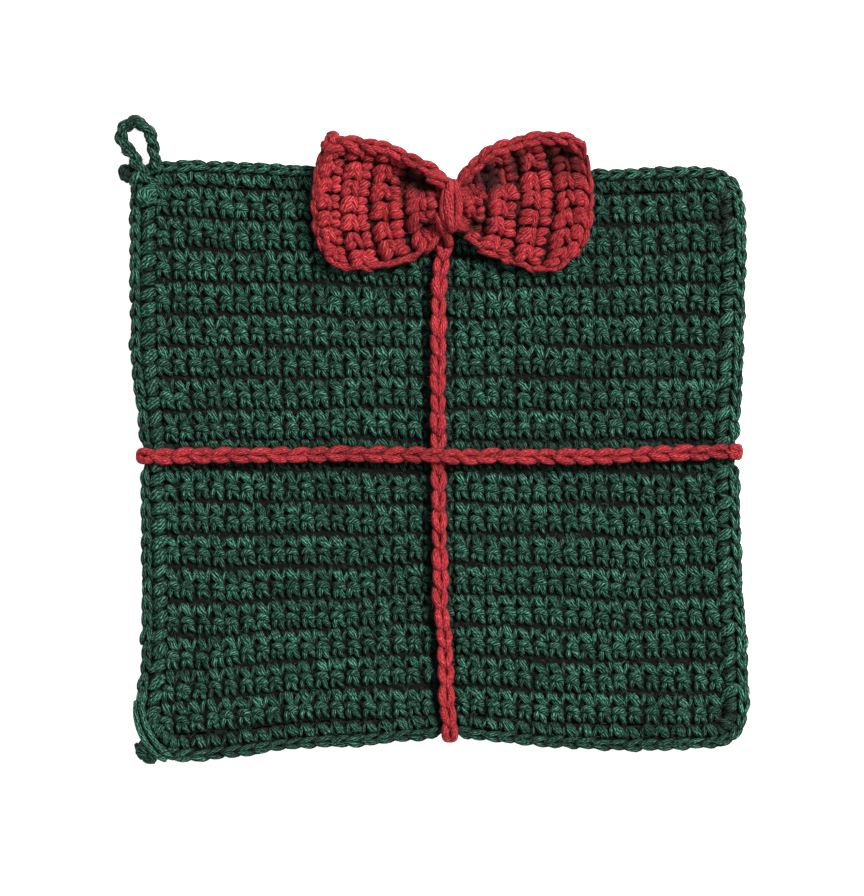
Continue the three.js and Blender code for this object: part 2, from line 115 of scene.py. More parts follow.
LEFT_STRAY = (
    (-96, -1.0), (-80, -1.0), (-67, -3.0), (-41, -3.5), (-14, -3.0),
    (12, -2.2), (28, 0.0), (55, 0.5), (96, 0.5),
)
RIGHT_STRAY = (
    (-96, 0.8), (-81, 1.5), (-62, 0.9), (-41, -0.6), (-24, -0.9), (3, -1.8),
    (25, -0.6), (45, 0.1), (71, 0.7), (96, -0.8),
)
TOP_STRAY = (
    (-101, 1.0), (-80, 1.6), (-42, -0.1), (5, -1.5), (50, -1.4), (83, -0.4), (101, -1.7),
)
BOTTOM_STRAY = (
    (-101, 5.0), (-82, 4.8), (-62, 2.8), (-45, 0.4), (-25, -0.4),
    (3, -2.7), (37, 0.0), (63, 1.3), (101, 0.0),
)
STRAY_POWER = 1.5  # how fast the straying fades away from the edges

# How far each ribbon sways from a straight line, at places along it.
ACROSS_SWAY = (
    (-99, 0.0), (-77, 0.0), (-46, 0.5), (-13, 0.5), (4, -0.1), (57, -0.1), (74, 0.8), (99, 1.4),
)
DOWN_SWAY = (
    (-96, 3.9), (-88, 3.6), (-78, 2.7), (-62, 2.2), (-50, 1.1),
    (-20, 0.5), (0, 0.0), (45, 0.1), (60, 0.8), (73, 2.4),
)
PRESS_DEPTH = 1.0  # how far a ribbon sinks the fabric
PRESS_REACH = (2.6, 6.2)  # where the sinking starts to ease, from the ribbon's middle, and ends


def on_fabric(x, y):
    """Where a point of the true square lies on the uneven fabric."""
    side = np.where(x < 0, read_pairs(LEFT_STRAY, y), read_pairs(RIGHT_STRAY, y))
    end = np.where(y < 0, read_pairs(BOTTOM_STRAY, x), read_pairs(TOP_STRAY, x))
    out_x = np.sign(x) * side * np.abs(x / HALF_WIDE) ** STRAY_POWER
    out_y = np.sign(y) * end * np.abs(y / HALF_HIGH) ** STRAY_POWER
    return x + out_x, y + out_y


def pressed(x, y):
    """How far the ribbons sink the fabric beside them."""
    from_across = np.abs(y - read_pairs(ACROSS_SWAY, x))
    from_down = np.abs(x - read_pairs(DOWN_SWAY, y))
    nearest = np.minimum(from_across, from_down)
    return PRESS_DEPTH * (1 - smooth(nearest, *PRESS_REACH))


def over_face(points):
    """Lays a flat drawing on the face. Its third number is a height above the crests."""
    x, y = on_fabric(points[..., 0], points[..., 1])
    return stacked(x, y, FABRIC - CREST - pressed(x, y) + points[..., 2])


def over_back(points):
    """Lays a flat drawing, as seen from behind, on the underside."""
    x, y = on_fabric(-points[..., 0], points[..., 1])
    return stacked(x, y, CREST - points[..., 2])


# Yarn

SWEEP = 2 * math.pi
YARN_ROUND = 8.0  # millimetres of yarn to one unit of its map
MAPPED_WIDTH = 2.1  # the width of strand that its map goes round once
TWIST = -0.05  # turns to the millimetre, left-handed like a cotton that is plied so
ROUTE_TWIST = -0.04  # the same in a single long strand
UP_STEP = 0.4  # the height over which the way out of the fabric is measured
CHORD_SHARE = 0.3  # how much the direction from end to end steadies a strand's sides


class Strand:
    """A length of yarn in a stitch: rows of (x, y, height, width, thickness) that it passes."""

    def __init__(self, rows, sides=6, rings=7, twist=TWIST):
        self.rows = np.array(rows, float)
        # How often its map goes round it, so that a fat strand has more plies.
        self.rounds = max(1, round(self.rows[:, 3].mean() / MAPPED_WIDTH))
        self.sides = sides
        self.twist = twist
        steps = np.linspace(0, len(rows) - 1, rings)
        self.weights = read(np.arange(len(rows)), np.eye(len(rows)), steps)


def scaled(stitch, along=1.0, across=1.0):
    """A stitch drawn out along its row, or across it."""
    return tuple(
        Strand(strand.rows * (along, across, 1, 1, 1), strand.sides, len(strand.weights), strand.twist)
        for strand in stitch
    )


# The heights of a drawing below which yarn is hidden from the light, and above which it isn't.
# Below these heights shade is painted into the yarn's colour.
FLAT_DARK = (-1.8, 0.1)
CORD_DARK = (-1.1, 0.9)
ROPE_DARK = (-0.8, 1.5)
BOW_DARK = (-2.7, -0.8)
WRAP_DARK = (-1.0, 0.9)

# How uneven stitches are. LOOSE is how far one is shifted, in millimetres. The shares of it are
# the shift along the row, up the fabric and in height, the turn, and what each point strays.
LOOSE = 0.19
SHIFT_SHARES = (1, 0.8, 0.8)
TURN_SHARE = 0.5
POINT_SHARE = 0.8
SWELL = 0.06  # how much fatter or slimmer a stitch is than the next one
STRAND_TURN = 0.06
STRAND_SWELL = 0.07

# Loose fibres.
FIBRE_WIDTH = 0.13
FIBRE = Strand([(i, 0, 0, FIBRE_WIDTH, FIBRE_WIDTH) for i in range(4)], sides=3, rings=4)
FIBRE_LENGTHS = (0.9, 2.6)
FIBRE_BEND = 0.9
FIBRE_RISE = 0.2  # how much its height varies along it


class Skein:
    """Strands gathered into one piece."""

    def __init__(self, dark=FLAT_DARK):
        self.dark = dark
        self.points = []
        self.faces = []
        self.maps = []
        self.shades = []
        self.painted_shades = []
        self.count = 0

    def lay(self, strand, drawn, widths, over, shade):
        """Adds copies of a strand. drawn holds the points that each passes, flat."""
        centres = over(drawn)
        lifts = over(drawn + np.array((0, 0, UP_STEP))) - centres
        weights = strand.weights
        centre = np.einsum("rc,nck->nrk", weights, centres)
        up = unit(np.einsum("rc,nck->nrk", weights, lifts))
        width = np.einsum("rc,nck->nrk", weights, widths)
        along = unit(np.gradient(centre, axis=1))
        chord = unit(centre[:, -1:] - centre[:, :1])
        heading = along + CHORD_SHARE * chord
        heading = heading - np.sum(heading * up, axis=-1, keepdims=True) * up
        side = unit(np.cross(heading, up))
        top = unit(np.cross(side, along))
        sides = strand.sides
        angle = np.arange(sides) / sides * SWEEP
        across = np.cos(angle)[:, None] * side[:, :, None] * width[:, :, None, :1] / 2
        upwards = np.sin(angle)[:, None] * top[:, :, None] * width[:, :, None, 1:] / 2
        tube = centre[:, :, None] + across + upwards
        copies, rings = centre.shape[:2]
        gaps = np.linalg.norm(np.diff(centre, axis=1), axis=-1)
        length = np.concatenate([np.zeros((copies, 1)), np.cumsum(gaps, axis=1)], axis=1)
        # Painted shade: the lower a point of a strand lies in its drawing, the darker its colour is
        # made.
        level = np.einsum("rc,nc->nr", weights, drawn[..., 2])
        height = level[:, :, None] + np.sin(angle) * width[:, :, None, 1] / 2
        self.painted_shades.append(1 - smooth(height, *self.dark).ravel())
        self.close(tube.reshape(-1, 3), (copies, rings, sides), length, strand, shade)

    def close(self, points, shape, length, strand, shade):
        """Joins rings of points into closed tubes, with their map and shades."""
        copies, rings, sides = shape
        ring, side = np.meshgrid(np.arange(rings - 1), np.arange(sides), indexing="ij")
        follow = (side + 1) % sides
        wall = np.stack(
            [ring * sides + side, (ring + 1) * sides + side,
             (ring + 1) * sides + follow, ring * sides + follow],
            axis=-1,
        ).reshape(-1, 4)
        rounds = np.stack([side, side, side + 1, side + 1], axis=-1).reshape(-1, 4)
        stations = np.stack([ring, ring + 1, ring + 1, ring], axis=-1).reshape(-1, 4)
        cap = np.arange(sides)
        last = (rings - 1) * sides
        for copy in range(copies):
            start = self.count + copy * rings * sides
            self.faces.extend((wall + start).tolist())
            self.faces.append((cap + start).tolist())
            self.faces.append((cap[::-1] + start + last).tolist())
        at = length[:, stations]
        u = strand.rounds * (rounds[None] / sides + strand.twist * at)
        walls = np.stack([u, at / YARN_ROUND], axis=-1).reshape(copies, -1, 2)
        caps = []
        for end, turn in ((0, cap), (rings - 1, cap[::-1])):
            far = np.repeat(length[:, end:end + 1], sides, axis=1)
            across = strand.rounds * (turn[None] / sides + strand.twist * far)
            caps.append(np.stack([across, far / YARN_ROUND], axis=-1))
        self.maps.append(np.concatenate([walls, *caps], axis=1).reshape(-1, 2))
        self.points.append(points)
        self.shades.append(np.repeat(shade, rings * sides))
        self.count += len(points)

    def stitches(self, stitch, at, over, loose=LOOSE, size=1.0, fat=1.0, shade=0.0):
        """Adds copies of a stitch at places of a flat drawing, each a little uneven. Each one's
        brightness is drawn at random, from 0 to 1, and shade is added to it."""
        at = np.asarray(at, float)
        count = len(at)
        middle = np.concatenate([strand.rows[:, :2] for strand in stitch]).mean(axis=0)
        shift = random.normal(0, loose, (count, 1, 3)) * SHIFT_SHARES
        turn = random.normal(0, TURN_SHARE * loose, (count, 1))
        swell = fat * (1 + random.normal(0, SWELL, (count, 1, 1)))
        shades = shade + random.random(count)
        for strand in stitch:
            rows = np.repeat(strand.rows[None], count, axis=0)
            own_turn = turn + random.normal(0, STRAND_TURN, (count, 1))
            away = rows[..., :2] - middle
            drawn = rows[..., :3] * size + shift
            drawn[..., 0] -= own_turn * away[..., 1]
            drawn[..., 1] += own_turn * away[..., 0]
            drawn += random.normal(0, POINT_SHARE * loose, drawn.shape)
            drawn[..., :2] += at[:, None, :]
            own = 1 + random.normal(0, STRAND_SWELL, (count, 1, 1))
            self.lay(strand, drawn, rows[..., 3:] * size * swell * own, over, shades)

    def knot(self, place, size, turn=0.0, shade=0.0):
        """Adds a small knot of yarn at a point of the drawing."""
        spin = np.array((
            (math.cos(turn), math.sin(turn), 0),
            (-math.sin(turn), math.cos(turn), 0),
            (0, 0, 1),
        ))

        def placed(points):
            return points @ spin + place

        self.stitches(KNOT, [(0, 0)], placed, KNOT_LOOSE, size, shade=shade)

    def route(self, points, width, shade, sides=6, rings=16):
        """Adds one strand through points of the drawing."""
        rows = [(*point, width, width) for point in points]
        strand = Strand(rows, sides, rings, ROUTE_TWIST)
        drawn = strand.rows[None]
        self.lay(strand, drawn[..., :3], drawn[..., 3:], lambda point: point, np.array([shade]))

    def fuzz(self, count, low, high, over, heights):
        """Adds loose fibres that stand off the yarn, anywhere from low to high."""
        at = random.uniform(low, high, (count, 2))[:, None]
        heading = random.random((count, 1)) * SWEEP
        long = random.uniform(*FIBRE_LENGTHS, (count, 1))
        steps = np.linspace(-0.5, 0.5, len(FIBRE.rows))
        bend = random.normal(0, FIBRE_BEND, (count, 1)) * steps**2
        x = at[..., 0] + long * (steps * np.cos(heading) - bend * np.sin(heading))
        y = at[..., 1] + long * (steps * np.sin(heading) + bend * np.cos(heading))
        z = random.uniform(*heights, (count, 1)) + random.normal(0, FIBRE_RISE, x.shape)
        widths = np.repeat(FIBRE.rows[None, :, 3:], count, axis=0)
        self.lay(FIBRE, stacked(x, y, z), widths, over, random.random(count))

    def made(self, name, material, slot, *nodes):
        """The piece, in the frame, standing for its CAD nodes."""
        mesh = bpy.data.meshes.new(name)
        points = np.concatenate(self.points)
        mesh.from_pydata(((points + ORIGIN) * MM).tolist(), [], self.faces)
        yarn_map = mesh.uv_layers.new(name="yarn_map")
        yarn_map.data.foreach_set("uv", np.concatenate(self.maps).astype(np.float32).ravel())
        shades = mesh.attributes.new("stitch_shade", "FLOAT", "POINT")
        shades.data.foreach_set("value", np.concatenate(self.shades).astype(np.float32))
        # Painted shade, from the heights of the yarn, the bow's hollows and the ribbons' sides.
        painted_shades = mesh.attributes.new("painted_shade", "FLOAT", "POINT")
        deep = np.maximum(np.concatenate(self.painted_shades), np.maximum(hollow(points), beside(points)))
        painted_shades.data.foreach_set("value", deep.astype(np.float32))
        mesh.shade_smooth()
        return settled(name, mesh, material, nodes)


# Painted shade, in places where little light reaches, in the hollows of the bow and in the right
# corners of the edging: their middle, half their width and height, their lowest and highest point, and
# how dark they are.
HOLLOWS = (
    (-5.6, 91.2, 7.2, 4.4, 7.2, 13.5, 1.0),
    (17.2, 91.8, 3.8, 5.2, 7.2, 13.5, 1.0),
    (13.6, 75.8, 4.4, 2.4, 7.2, 13.5, 0.9),
    (-4.6, 76.6, 2.6, 2.0, 7.2, 13.5, 0.8),
    (41.0, 98.4, 7.5, 6.0, 7.2, 13.5, 0.62),
    (26.0, 97.4, 2.6, 6.5, 7.2, 13.5, 0.75),
    (94.6, 80.0, 3.4, 10.0, 2.6, 6.5, 0.8),
    (95.6, -87.0, 4.2, 5.0, 2.6, 6.5, 0.8),
)
HOLLOW_EDGE = (0.6, 1.4)  # from where to where, in its own half sizes, the dark fades outwards
HOLLOW_FADE = 1.5  # the height over which it fades upwards


def hollow(points):
    """How deep in such a place each point lies, from 0 to 1."""
    deep = np.zeros(len(points))
    for x, y, half_wide, half_high, low, high, dark in HOLLOWS:
        away = np.hypot((points[:, 0] - x) / half_wide, (points[:, 1] - y) / half_high)
        between = (points[:, 2] > low) * (1 - smooth(points[:, 2], high, high + HOLLOW_FADE))
        deep = np.maximum(deep, dark * between * (1 - smooth(away, *HOLLOW_EDGE)))
    return deep


# How far the ribbons keep the light from the fabric, on their left, right and other sides.
SHADE_LEFT = (3.6, 6.4)
SHADE_RIGHT = (2.6, 4.6)
SHADE_ENDS = (2.6, 5.2)
RIBBON_SHADE = 0.85  # how dark it is right beside them
SHADED_HEIGHTS = (FABRIC / 2, FACE - 0.1)  # the face, but not what lies on it


def beside(points):
    """How deep in the painted shade of a ribbon each point of the square's face lies, from 0 to 1."""
    x, y, z = points.T
    aside = x - read_pairs(DOWN_SWAY, y)
    left = 1 - smooth(-aside, *SHADE_LEFT)
    right = 1 - smooth(aside, *SHADE_RIGHT)
    along = 1 - smooth(np.abs(y - read_pairs(ACROSS_SWAY, x)), *SHADE_ENDS)
    shade = np.maximum(np.where(aside < 0, left, right) * (y < BOW_Y), along)
    low, high = SHADED_HEIGHTS
    return RIBBON_SHADE * shade * (z > low) * (z < high)


def settled(name, mesh, material, nodes):
    """Makes the piece's object, which rides on the part and replaces its CAD nodes."""
    piece = bpy.data.objects.new(name, mesh)
    bpy.context.scene.collection.objects.link(piece)
    mesh.materials.clear()
    mesh.materials.append(material)
    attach(piece, "root")
    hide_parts(*nodes)
    return piece


def grid_slab(name, front, back, material, node):
    """A closed slab between two grids of points."""
    rows, columns = front.shape[:2]
    points = np.concatenate([front.reshape(-1, 3), back.reshape(-1, 3)])
    half = rows * columns
    faces = []
    for i in range(rows - 1):
        for j in range(columns - 1):
            a, b = i * columns + j, (i + 1) * columns + j
            faces.append((a, b, b + 1, a + 1))
            faces.append((half + a + 1, half + b + 1, half + b, half + a))
    rim = [i * columns for i in range(rows)]
    rim += [(rows - 1) * columns + j for j in range(1, columns)]
    rim += [i * columns + columns - 1 for i in range(rows - 2, -1, -1)]
    rim += [j for j in range(columns - 2, 0, -1)]
    for a, b in zip(rim, rim[1:] + rim[:1]):
        faces.append((b, a, half + a, half + b))
    mesh = bpy.data.meshes.new(name)
    mesh.from_pydata(((points + ORIGIN) * MM).tolist(), [], faces)
    mesh.shade_smooth()
    return settled(name, mesh, material, (node,))


# Materials


def feed(tree, socket, value):
    """Gives a socket a value, or links it to the socket that feeds it."""
    if isinstance(value, bpy.types.NodeSocket):
        tree.links.new(value, socket)
    else:
        socket.default_value = value


def linked(tree, kind, **inputs):
    """A new node. Inputs are given by name, as values or as the sockets that feed them."""
    node = tree.nodes.new(kind)
    for name, value in inputs.items():
        feed(tree, node.inputs[name], value)
    return node


def sums(tree, operation, first, second=0.0, third=0.0):
    node = tree.nodes.new("ShaderNodeMath")
    node.operation = operation
    for socket, value in zip(node.inputs, (first, second, third)):
        feed(tree, socket, value)
    return node.outputs[0]


def blended(tree, share, first, second):
    """A mix of two colours."""
    node = tree.nodes.new("ShaderNodeMix")
    node.data_type = "RGBA"
    for name, value in (("Factor_Float", share), ("A_Color", first), ("B_Color", second)):
        socket = next(socket for socket in node.inputs if socket.identifier == name)
        feed(tree, socket, value)
    return next(socket for socket in node.outputs if socket.identifier == "Result_Color")


def noise(tree, vector, scale, detail=2.0):
    node = linked(tree, "ShaderNodeTexNoise", Vector=vector, Scale=scale, Detail=detail)
    return node.outputs["Fac"]


def combined(tree, x, y, z):
    return linked(tree, "ShaderNodeCombineXYZ", X=x, Y=y, Z=z).outputs[0]


def ranged(tree, value, low, high):
    """A value's smooth step from low to high."""
    node = linked(tree, "ShaderNodeMapRange", Value=value)
    node.interpolation_type = "SMOOTHSTEP"
    node.inputs["From Min"].default_value = low
    node.inputs["From Max"].default_value = high
    return node.outputs[0]


# The twisted yarn. Scales are in units of its map, whose length is YARN_ROUND to one.
APART = 40.0  # how far apart the patterns of two stitches are taken, so that none are alike
# How fast the plies' wandering changes along the yarn and in all, and how far it turns them.
PLY_ALONG = 6.4
PLY_SCALE = 1.1
PLY_ANGLE = 9.0
# How fine the streaks of fibre are round the yarn, along it and in all.
STREAK_ROUND = 2.8
STREAK_ALONG = 7.0
STREAK_SCALE = 1.4
STREAK_STEP = (0.34, 0.66)  # from where to where in the noise a streak rises
# Painted shade and highlight: the yarn's colour follows the height of its relief, darkest in the
# grooves and lightest on the raised fibres.
BODY_STEP = (0.15, 0.60)  # the heights between which a groove turns into the yarn's body
LIT_STEP = (0.48, 0.92)  # and its body into lit fibres
DYE_SCALE = 45.0  # how fine the dye's unevenness is over the whole piece, to the metre
# How bright a strand is: what its own shade and the dye add to the least.
LEAST_BRIGHT = 0.62
SHADE_BRIGHT = 0.36
DYE_BRIGHT = 0.4
# Painted shade: yarn deep between the stitches, in the bow's hollows and beside the ribbons is darkened
# towards a near-black colour.
DEEP_SHARE = 0.9  # how much of its colour a strand loses where painted_shade is 1
PAINTED_SHADE_COLOUR = (0.009, 0.0085, 0.0065, 1)  # what little is seen of yarn deep between the stitches


def twisted_yarn():
    """The node group of spun cotton: plies with grooves darkened by painted shade, and fine fibres
    along them lit by painted highlights.
    """
    group = bpy.data.node_groups.new("twisted_yarn", "ShaderNodeTree")
    for name in ("Groove", "Yarn", "Highlight"):
        group.interface.new_socket(name, in_out="INPUT", socket_type="NodeSocketColor")
    for name in ("Plies", "Fuzz"):
        group.interface.new_socket(name, in_out="INPUT", socket_type="NodeSocketFloat")
    group.interface.new_socket("Colour", in_out="OUTPUT", socket_type="NodeSocketColor")
    group.interface.new_socket("Height", in_out="OUTPUT", socket_type="NodeSocketFloat")
    given = group.nodes.new("NodeGroupInput")
    put_out = group.nodes.new("NodeGroupOutput")

    yarn_map = group.nodes.new("ShaderNodeUVMap")
    yarn_map.uv_map = "yarn_map"
    parts = linked(group, "ShaderNodeSeparateXYZ", Vector=yarn_map.outputs[0])
    turn = sums(group, "MULTIPLY", parts.outputs[0], SWEEP)
    along = parts.outputs[1]
    own = group.nodes.new("ShaderNodeAttribute")
    own.attribute_name = "stitch_shade"
    shade = own.outputs["Fac"]
    apart = sums(group, "MULTIPLY", shade, APART)
    place = sums(group, "ADD", along, apart)
    cosine = sums(group, "COSINE", turn)
    sine = sums(group, "SINE", turn)

    # The plies wander and differ in width.
    slow = combined(group, cosine, sine, sums(group, "MULTIPLY", place, PLY_ALONG))
    wander = sums(group, "MULTIPLY", noise(group, slow, PLY_SCALE), PLY_ANGLE)
    phase = sums(group, "ADD", sums(group, "MULTIPLY", turn, given.outputs["Plies"]), wander)
    ply = sums(group, "MULTIPLY_ADD", sums(group, "COSINE", phase), 0.5, 0.5)

    # The fibres are short streaks along the yarn.
    fine = combined(
        group,
        sums(group, "MULTIPLY", cosine, STREAK_ROUND),
        sums(group, "MULTIPLY", sine, STREAK_ROUND),
        sums(group, "MULTIPLY", place, STREAK_ALONG),
    )
    fibre = ranged(group, noise(group, fine, STREAK_SCALE, detail=3.0), *STREAK_STEP)
    fuzz = given.outputs["Fuzz"]
    fuzzy = sums(group, "MULTIPLY", fibre, fuzz)
    height = sums(group, "MULTIPLY_ADD", ply, sums(group, "SUBTRACT", 1.0, fuzz), fuzzy)

    # A slow unevenness of the dye over the whole piece.
    spot = group.nodes.new("ShaderNodeTexCoord").outputs["Object"]
    dye = noise(group, spot, DYE_SCALE)
    # Painted shade in the grooves and painted highlight on the raised fibres.
    groove, yarn, highlight = (given.outputs[name] for name in ("Groove", "Yarn", "Highlight"))
    body = blended(group, ranged(group, height, *BODY_STEP), groove, yarn)
    lit = blended(group, ranged(group, height, *LIT_STEP), body, highlight)
    bright = sums(group, "MULTIPLY_ADD", shade, SHADE_BRIGHT, LEAST_BRIGHT)
    bright = sums(group, "MULTIPLY_ADD", dye, DYE_BRIGHT, bright)
    brightened = group.nodes.new("ShaderNodeVectorMath")
    brightened.operation = "SCALE"
    group.links.new(lit, brightened.inputs[0])
    group.links.new(bright, brightened.inputs["Scale"])
    # Painted shade: the colour is darkened towards a near-black where the yarn lies deep, in the bow's
    # hollows and beside the ribbons.
    deep = group.nodes.new("ShaderNodeAttribute")
    deep.attribute_name = "painted_shade"
    painted_darkening = sums(group, "MULTIPLY", deep.outputs["Fac"], DEEP_SHARE)
    colour = blended(group, painted_darkening, brightened.outputs[0], PAINTED_SHADE_COLOUR)
    group.links.new(colour, put_out.inputs[0])
    group.links.new(height, put_out.inputs[1])
    return group


YARN_GROUP = twisted_yarn()


def yarn_material(name, groove, yarn, highlight, plies, fuzz):
    """Matt cotton yarn. The three colours are its grooves, its body and its lit fibres: painted shade
    in the grooves and painted highlight on the fibres. plies are its plies to one round of the map, and
    fuzz is how much of its relief is loose fibres."""
    material = bpy.data.materials.new(name)
    material.use_nodes = True
    tree = material.node_tree
    shader = tree.nodes["Principled BSDF"]
    spun = tree.nodes.new("ShaderNodeGroup")
    spun.node_tree = YARN_GROUP
    for socket, colour in zip(spun.inputs, (groove, yarn, highlight)):
        socket.default_value = (*colour, 1)
    spun.inputs["Plies"].default_value = plies
    spun.inputs["Fuzz"].default_value = fuzz
    tree.links.new(spun.outputs["Colour"], shader.inputs["Base Color"])
    bump = linked(tree, "ShaderNodeBump", Height=spun.outputs["Height"])
    bump.inputs["Strength"].default_value = 0.9
    bump.inputs["Distance"].default_value = 0.0004
    tree.links.new(bump.outputs[0], shader.inputs["Normal"])
    shader.inputs["Roughness"].default_value = 0.78
    shader.inputs["Specular IOR Level"].default_value = 0.12
    shader.inputs["Sheen Weight"].default_value = 0.02
    shader.inputs["Sheen Roughness"].default_value = 0.5
    return material


TANGLE_SCALE = 900.0  # how fine the tangle of threads inside the fabric is, to the metre
TANGLE_STEP = (0.35, 0.7)  # from where to where in the noise a thread shows


def ground_material(name, deep, thread):
    """The inside of the fabric, which shows only as darkness between the stitches. Its near-black
    colours are painted shade.
    """
    material = bpy.data.materials.new(name)
    material.use_nodes = True
    tree = material.node_tree
    shader = tree.nodes["Principled BSDF"]
    spot = tree.nodes.new("ShaderNodeTexCoord").outputs["Object"]
    tangle = noise(tree, spot, TANGLE_SCALE, detail=3.0)
    colour = blended(tree, ranged(tree, tangle, *TANGLE_STEP), (*deep, 1), (*thread, 1))
    tree.links.new(colour, shader.inputs["Base Color"])
    bump = linked(tree, "ShaderNodeBump", Height=tangle)
    bump.inputs["Strength"].default_value = 0.7
    bump.inputs["Distance"].default_value = 0.0005
    tree.links.new(bump.outputs[0], shader.inputs["Normal"])
    shader.inputs["Roughness"].default_value = 0.9
    shader.inputs["Specular IOR Level"].default_value = 0.1
    return material


# Each yarn's colours: painted shade in its grooves, its body, and painted highlight on its lit fibres.
GREEN = yarn_material(
    "green_cotton", (0.003, 0.008, 0.005), (0.009, 0.050, 0.029), (0.108, 0.355, 0.242), 7, 0.54
)
RED = yarn_material(
    "red_cotton", (0.18, 0.010, 0.013), (0.44, 0.024, 0.031), (0.66, 0.076, 0.088), 9, 0.60
)
# Painted shade: the insides are near-black, far darker than the green and red yarn that they stand for.
GREEN_INSIDE_PAINTED_SHADE = ground_material("green_inside_painted_shade", (0.0045, 0.0045, 0.0035), (0.008, 0.009, 0.0065))
RED_INSIDE_PAINTED_SHADE = ground_material("red_inside_painted_shade", (0.006, 0.004, 0.004), (0.011, 0.006, 0.005))

# Painted highlight: the loose fibres are lighter copies of the yarn's colours.
LIT_GREEN_FIBRE = yarn_material(
    "lit_green_fibre", (0.010, 0.050, 0.030), (0.050, 0.230, 0.150), (0.150, 0.480, 0.340), 7, 0.5
)
LIT_RED_FIBRE = yarn_material(
    "lit_red_fibre", (0.40, 0.020, 0.028), (0.70, 0.070, 0.080), (0.95, 0.220, 0.230), 7, 0.5
)

# Stitches. x runs along the row, y up the fabric, and heights are from its crest. The work
# shows a V where a row's right side is in front.
V_STITCH = (
    Strand((
        (-2.0, -0.7, -2.1, 1.4, 1.4),
        (-1.6, -1.5, -0.9, 1.9, 1.9),
        (-0.8, -2.6, -0.7, 2.1, 2.0),
        (0.1, -3.7, -0.9, 1.9, 1.8),
        (0.7, -4.7, -2.2, 1.4, 1.4),
    ), sides=5, rings=5, twist=-0.03),
    Strand((
        (-0.8, -0.5, -2.2, 1.4, 1.4),
        (-0.4, -1.3, -0.9, 1.9, 1.9),
        (0.3, -2.4, -0.7, 2.1, 2.0),
        (0.9, -3.6, -0.9, 1.9, 1.8),
        (1.3, -4.7, -2.2, 1.4, 1.4),
    ), sides=5, rings=5, twist=-0.03),
    Strand((
        (2.6, -0.6, -2.2, 1.3, 1.3),
        (2.4, -1.4, -1.0, 1.6, 1.6),
        (2.1, -2.4, -0.9, 1.7, 1.7),
        (1.7, -3.7, -1.3, 1.6, 1.5),
        (1.5, -4.9, -2.3, 1.3, 1.3),
    ), sides=5, rings=5, twist=-0.03),
)
# Where its wrong side is in front, it shows a bud over two legs.
BUD_STITCH = (
    Strand((
        (-2.3, -6.6, -2.8, 1.5, 1.5),
        (-1.6, -5.7, -1.2, 2.3, 2.1),
        (-0.4, -5.4, -0.7, 2.8, 2.4),
        (0.8, -5.8, -0.8, 2.6, 2.3),
        (1.7, -6.7, -1.5, 2.0, 1.8),
        (2.1, -7.4, -2.9, 1.3, 1.3),
    ), twist=-0.17),
    Strand((
        (-0.7, -6.7, -2.4, 1.4, 1.3),
        (-1.1, -7.4, -0.9, 2.0, 1.8),
        (-1.2, -8.5, -1.0, 2.0, 1.8),
        (-1.2, -9.9, -2.6, 1.4, 1.3),
    ), sides=5, rings=5, twist=-0.03),
    Strand((
        (0.1, -6.9, -2.4, 1.4, 1.4),
        (0.7, -7.6, -0.8, 2.0, 1.9),
        (1.4, -8.6, -0.9, 2.0, 1.9),
        (2.2, -10.0, -2.6, 1.5, 1.4),
    ), sides=5, rings=5, twist=-0.03),
)


# How each pair of rows wanders up and down along its way, much as the pair above it does.
WANDER = 0.36  # the height of each of its waves
WANDER_LENGTHS = (7.0, 17.0, 41.0)  # how long they are, as the distance to one radian
WANDER_STEP = 1.8  # the most that they shift from one pair to the next, in radians
WANDER_PHASES = np.cumsum(random.random((ROWS // 2 + 1, 3)) * WANDER_STEP, axis=0)


def row_places(first):
    """The places of a stitch in every column of every pair of rows, from the top down."""
    x = (np.arange(COLUMNS) - (COLUMNS - 1) / 2) * STITCH
    x, pair = np.meshgrid(x, np.arange(ROWS // 2))
    wander = sum(
        np.sin(x / length + WANDER_PHASES[pair, k]) for k, length in enumerate(WANDER_LENGTHS)
    )
    y = ROWS * STITCH / 2 - first - pair * PAIR + WANDER * wander
    return stacked(x, y, 0)[..., :2].reshape(-1, 2)


# The square's rows in front and behind: how far down the first ones start, and how bright they
# are. Behind, the pairs are one row out of step, so the first row's buds come alone.
PANEL_ROWS = (
    ("face_v_rows", V_STITCH, over_face, 0, -0.15),
    ("face_bud_rows", BUD_STITCH, over_face, 0, -0.35),
    ("back_v_rows", V_STITCH, over_back, STITCH, -0.15),
    ("back_bud_rows", BUD_STITCH, over_back, -STITCH, -0.35),
)


def panel_pieces():
    pieces = []
    for name, stitch, over, first, shade in PANEL_ROWS:
        skein = Skein()
        skein.stitches(stitch, row_places(first), over, shade=shade)
        pieces.append(skein.made(name, GREEN, "green_yarn", "panel"))
    return pieces


GROUND_DEPTH = 1.8  # how far under the crests the inside of the fabric lies
GROUND_THICK = 0.5  # the least that it is thick
PANEL_GRID = 90  # points along each side of the inside of the square


def panel_ground():
    """The inside of the square's fabric."""
    x = np.linspace(-1, 1, PANEL_GRID) * (HALF_WIDE - EDGING)
    y = np.linspace(-1, 1, PANEL_GRID) * (HALF_HIGH - EDGING)
    flat = stacked(x[:, None], y[None, :], -GROUND_DEPTH)
    front = over_face(flat)
    back = over_back(flat * (-1, 1, 1))
    deep = np.minimum(back[..., 2], front[..., 2] - GROUND_THICK)
    back = stacked(back[..., 0], back[..., 1], deep)
    return grid_slab("panel_ground", front, back, GREEN_INSIDE_PAINTED_SHADE, "panel")


# The edging

CORNER_RADII = (9.5, 11, 16, 11)  # top right, top left, bottom left, bottom right
DRAWN_FLAT = 3.3  # half the length that a tie draws in fully
DRAWN_SLOPE = 2.5  # the length over which that eases off, to be multiplied by the tie's reach
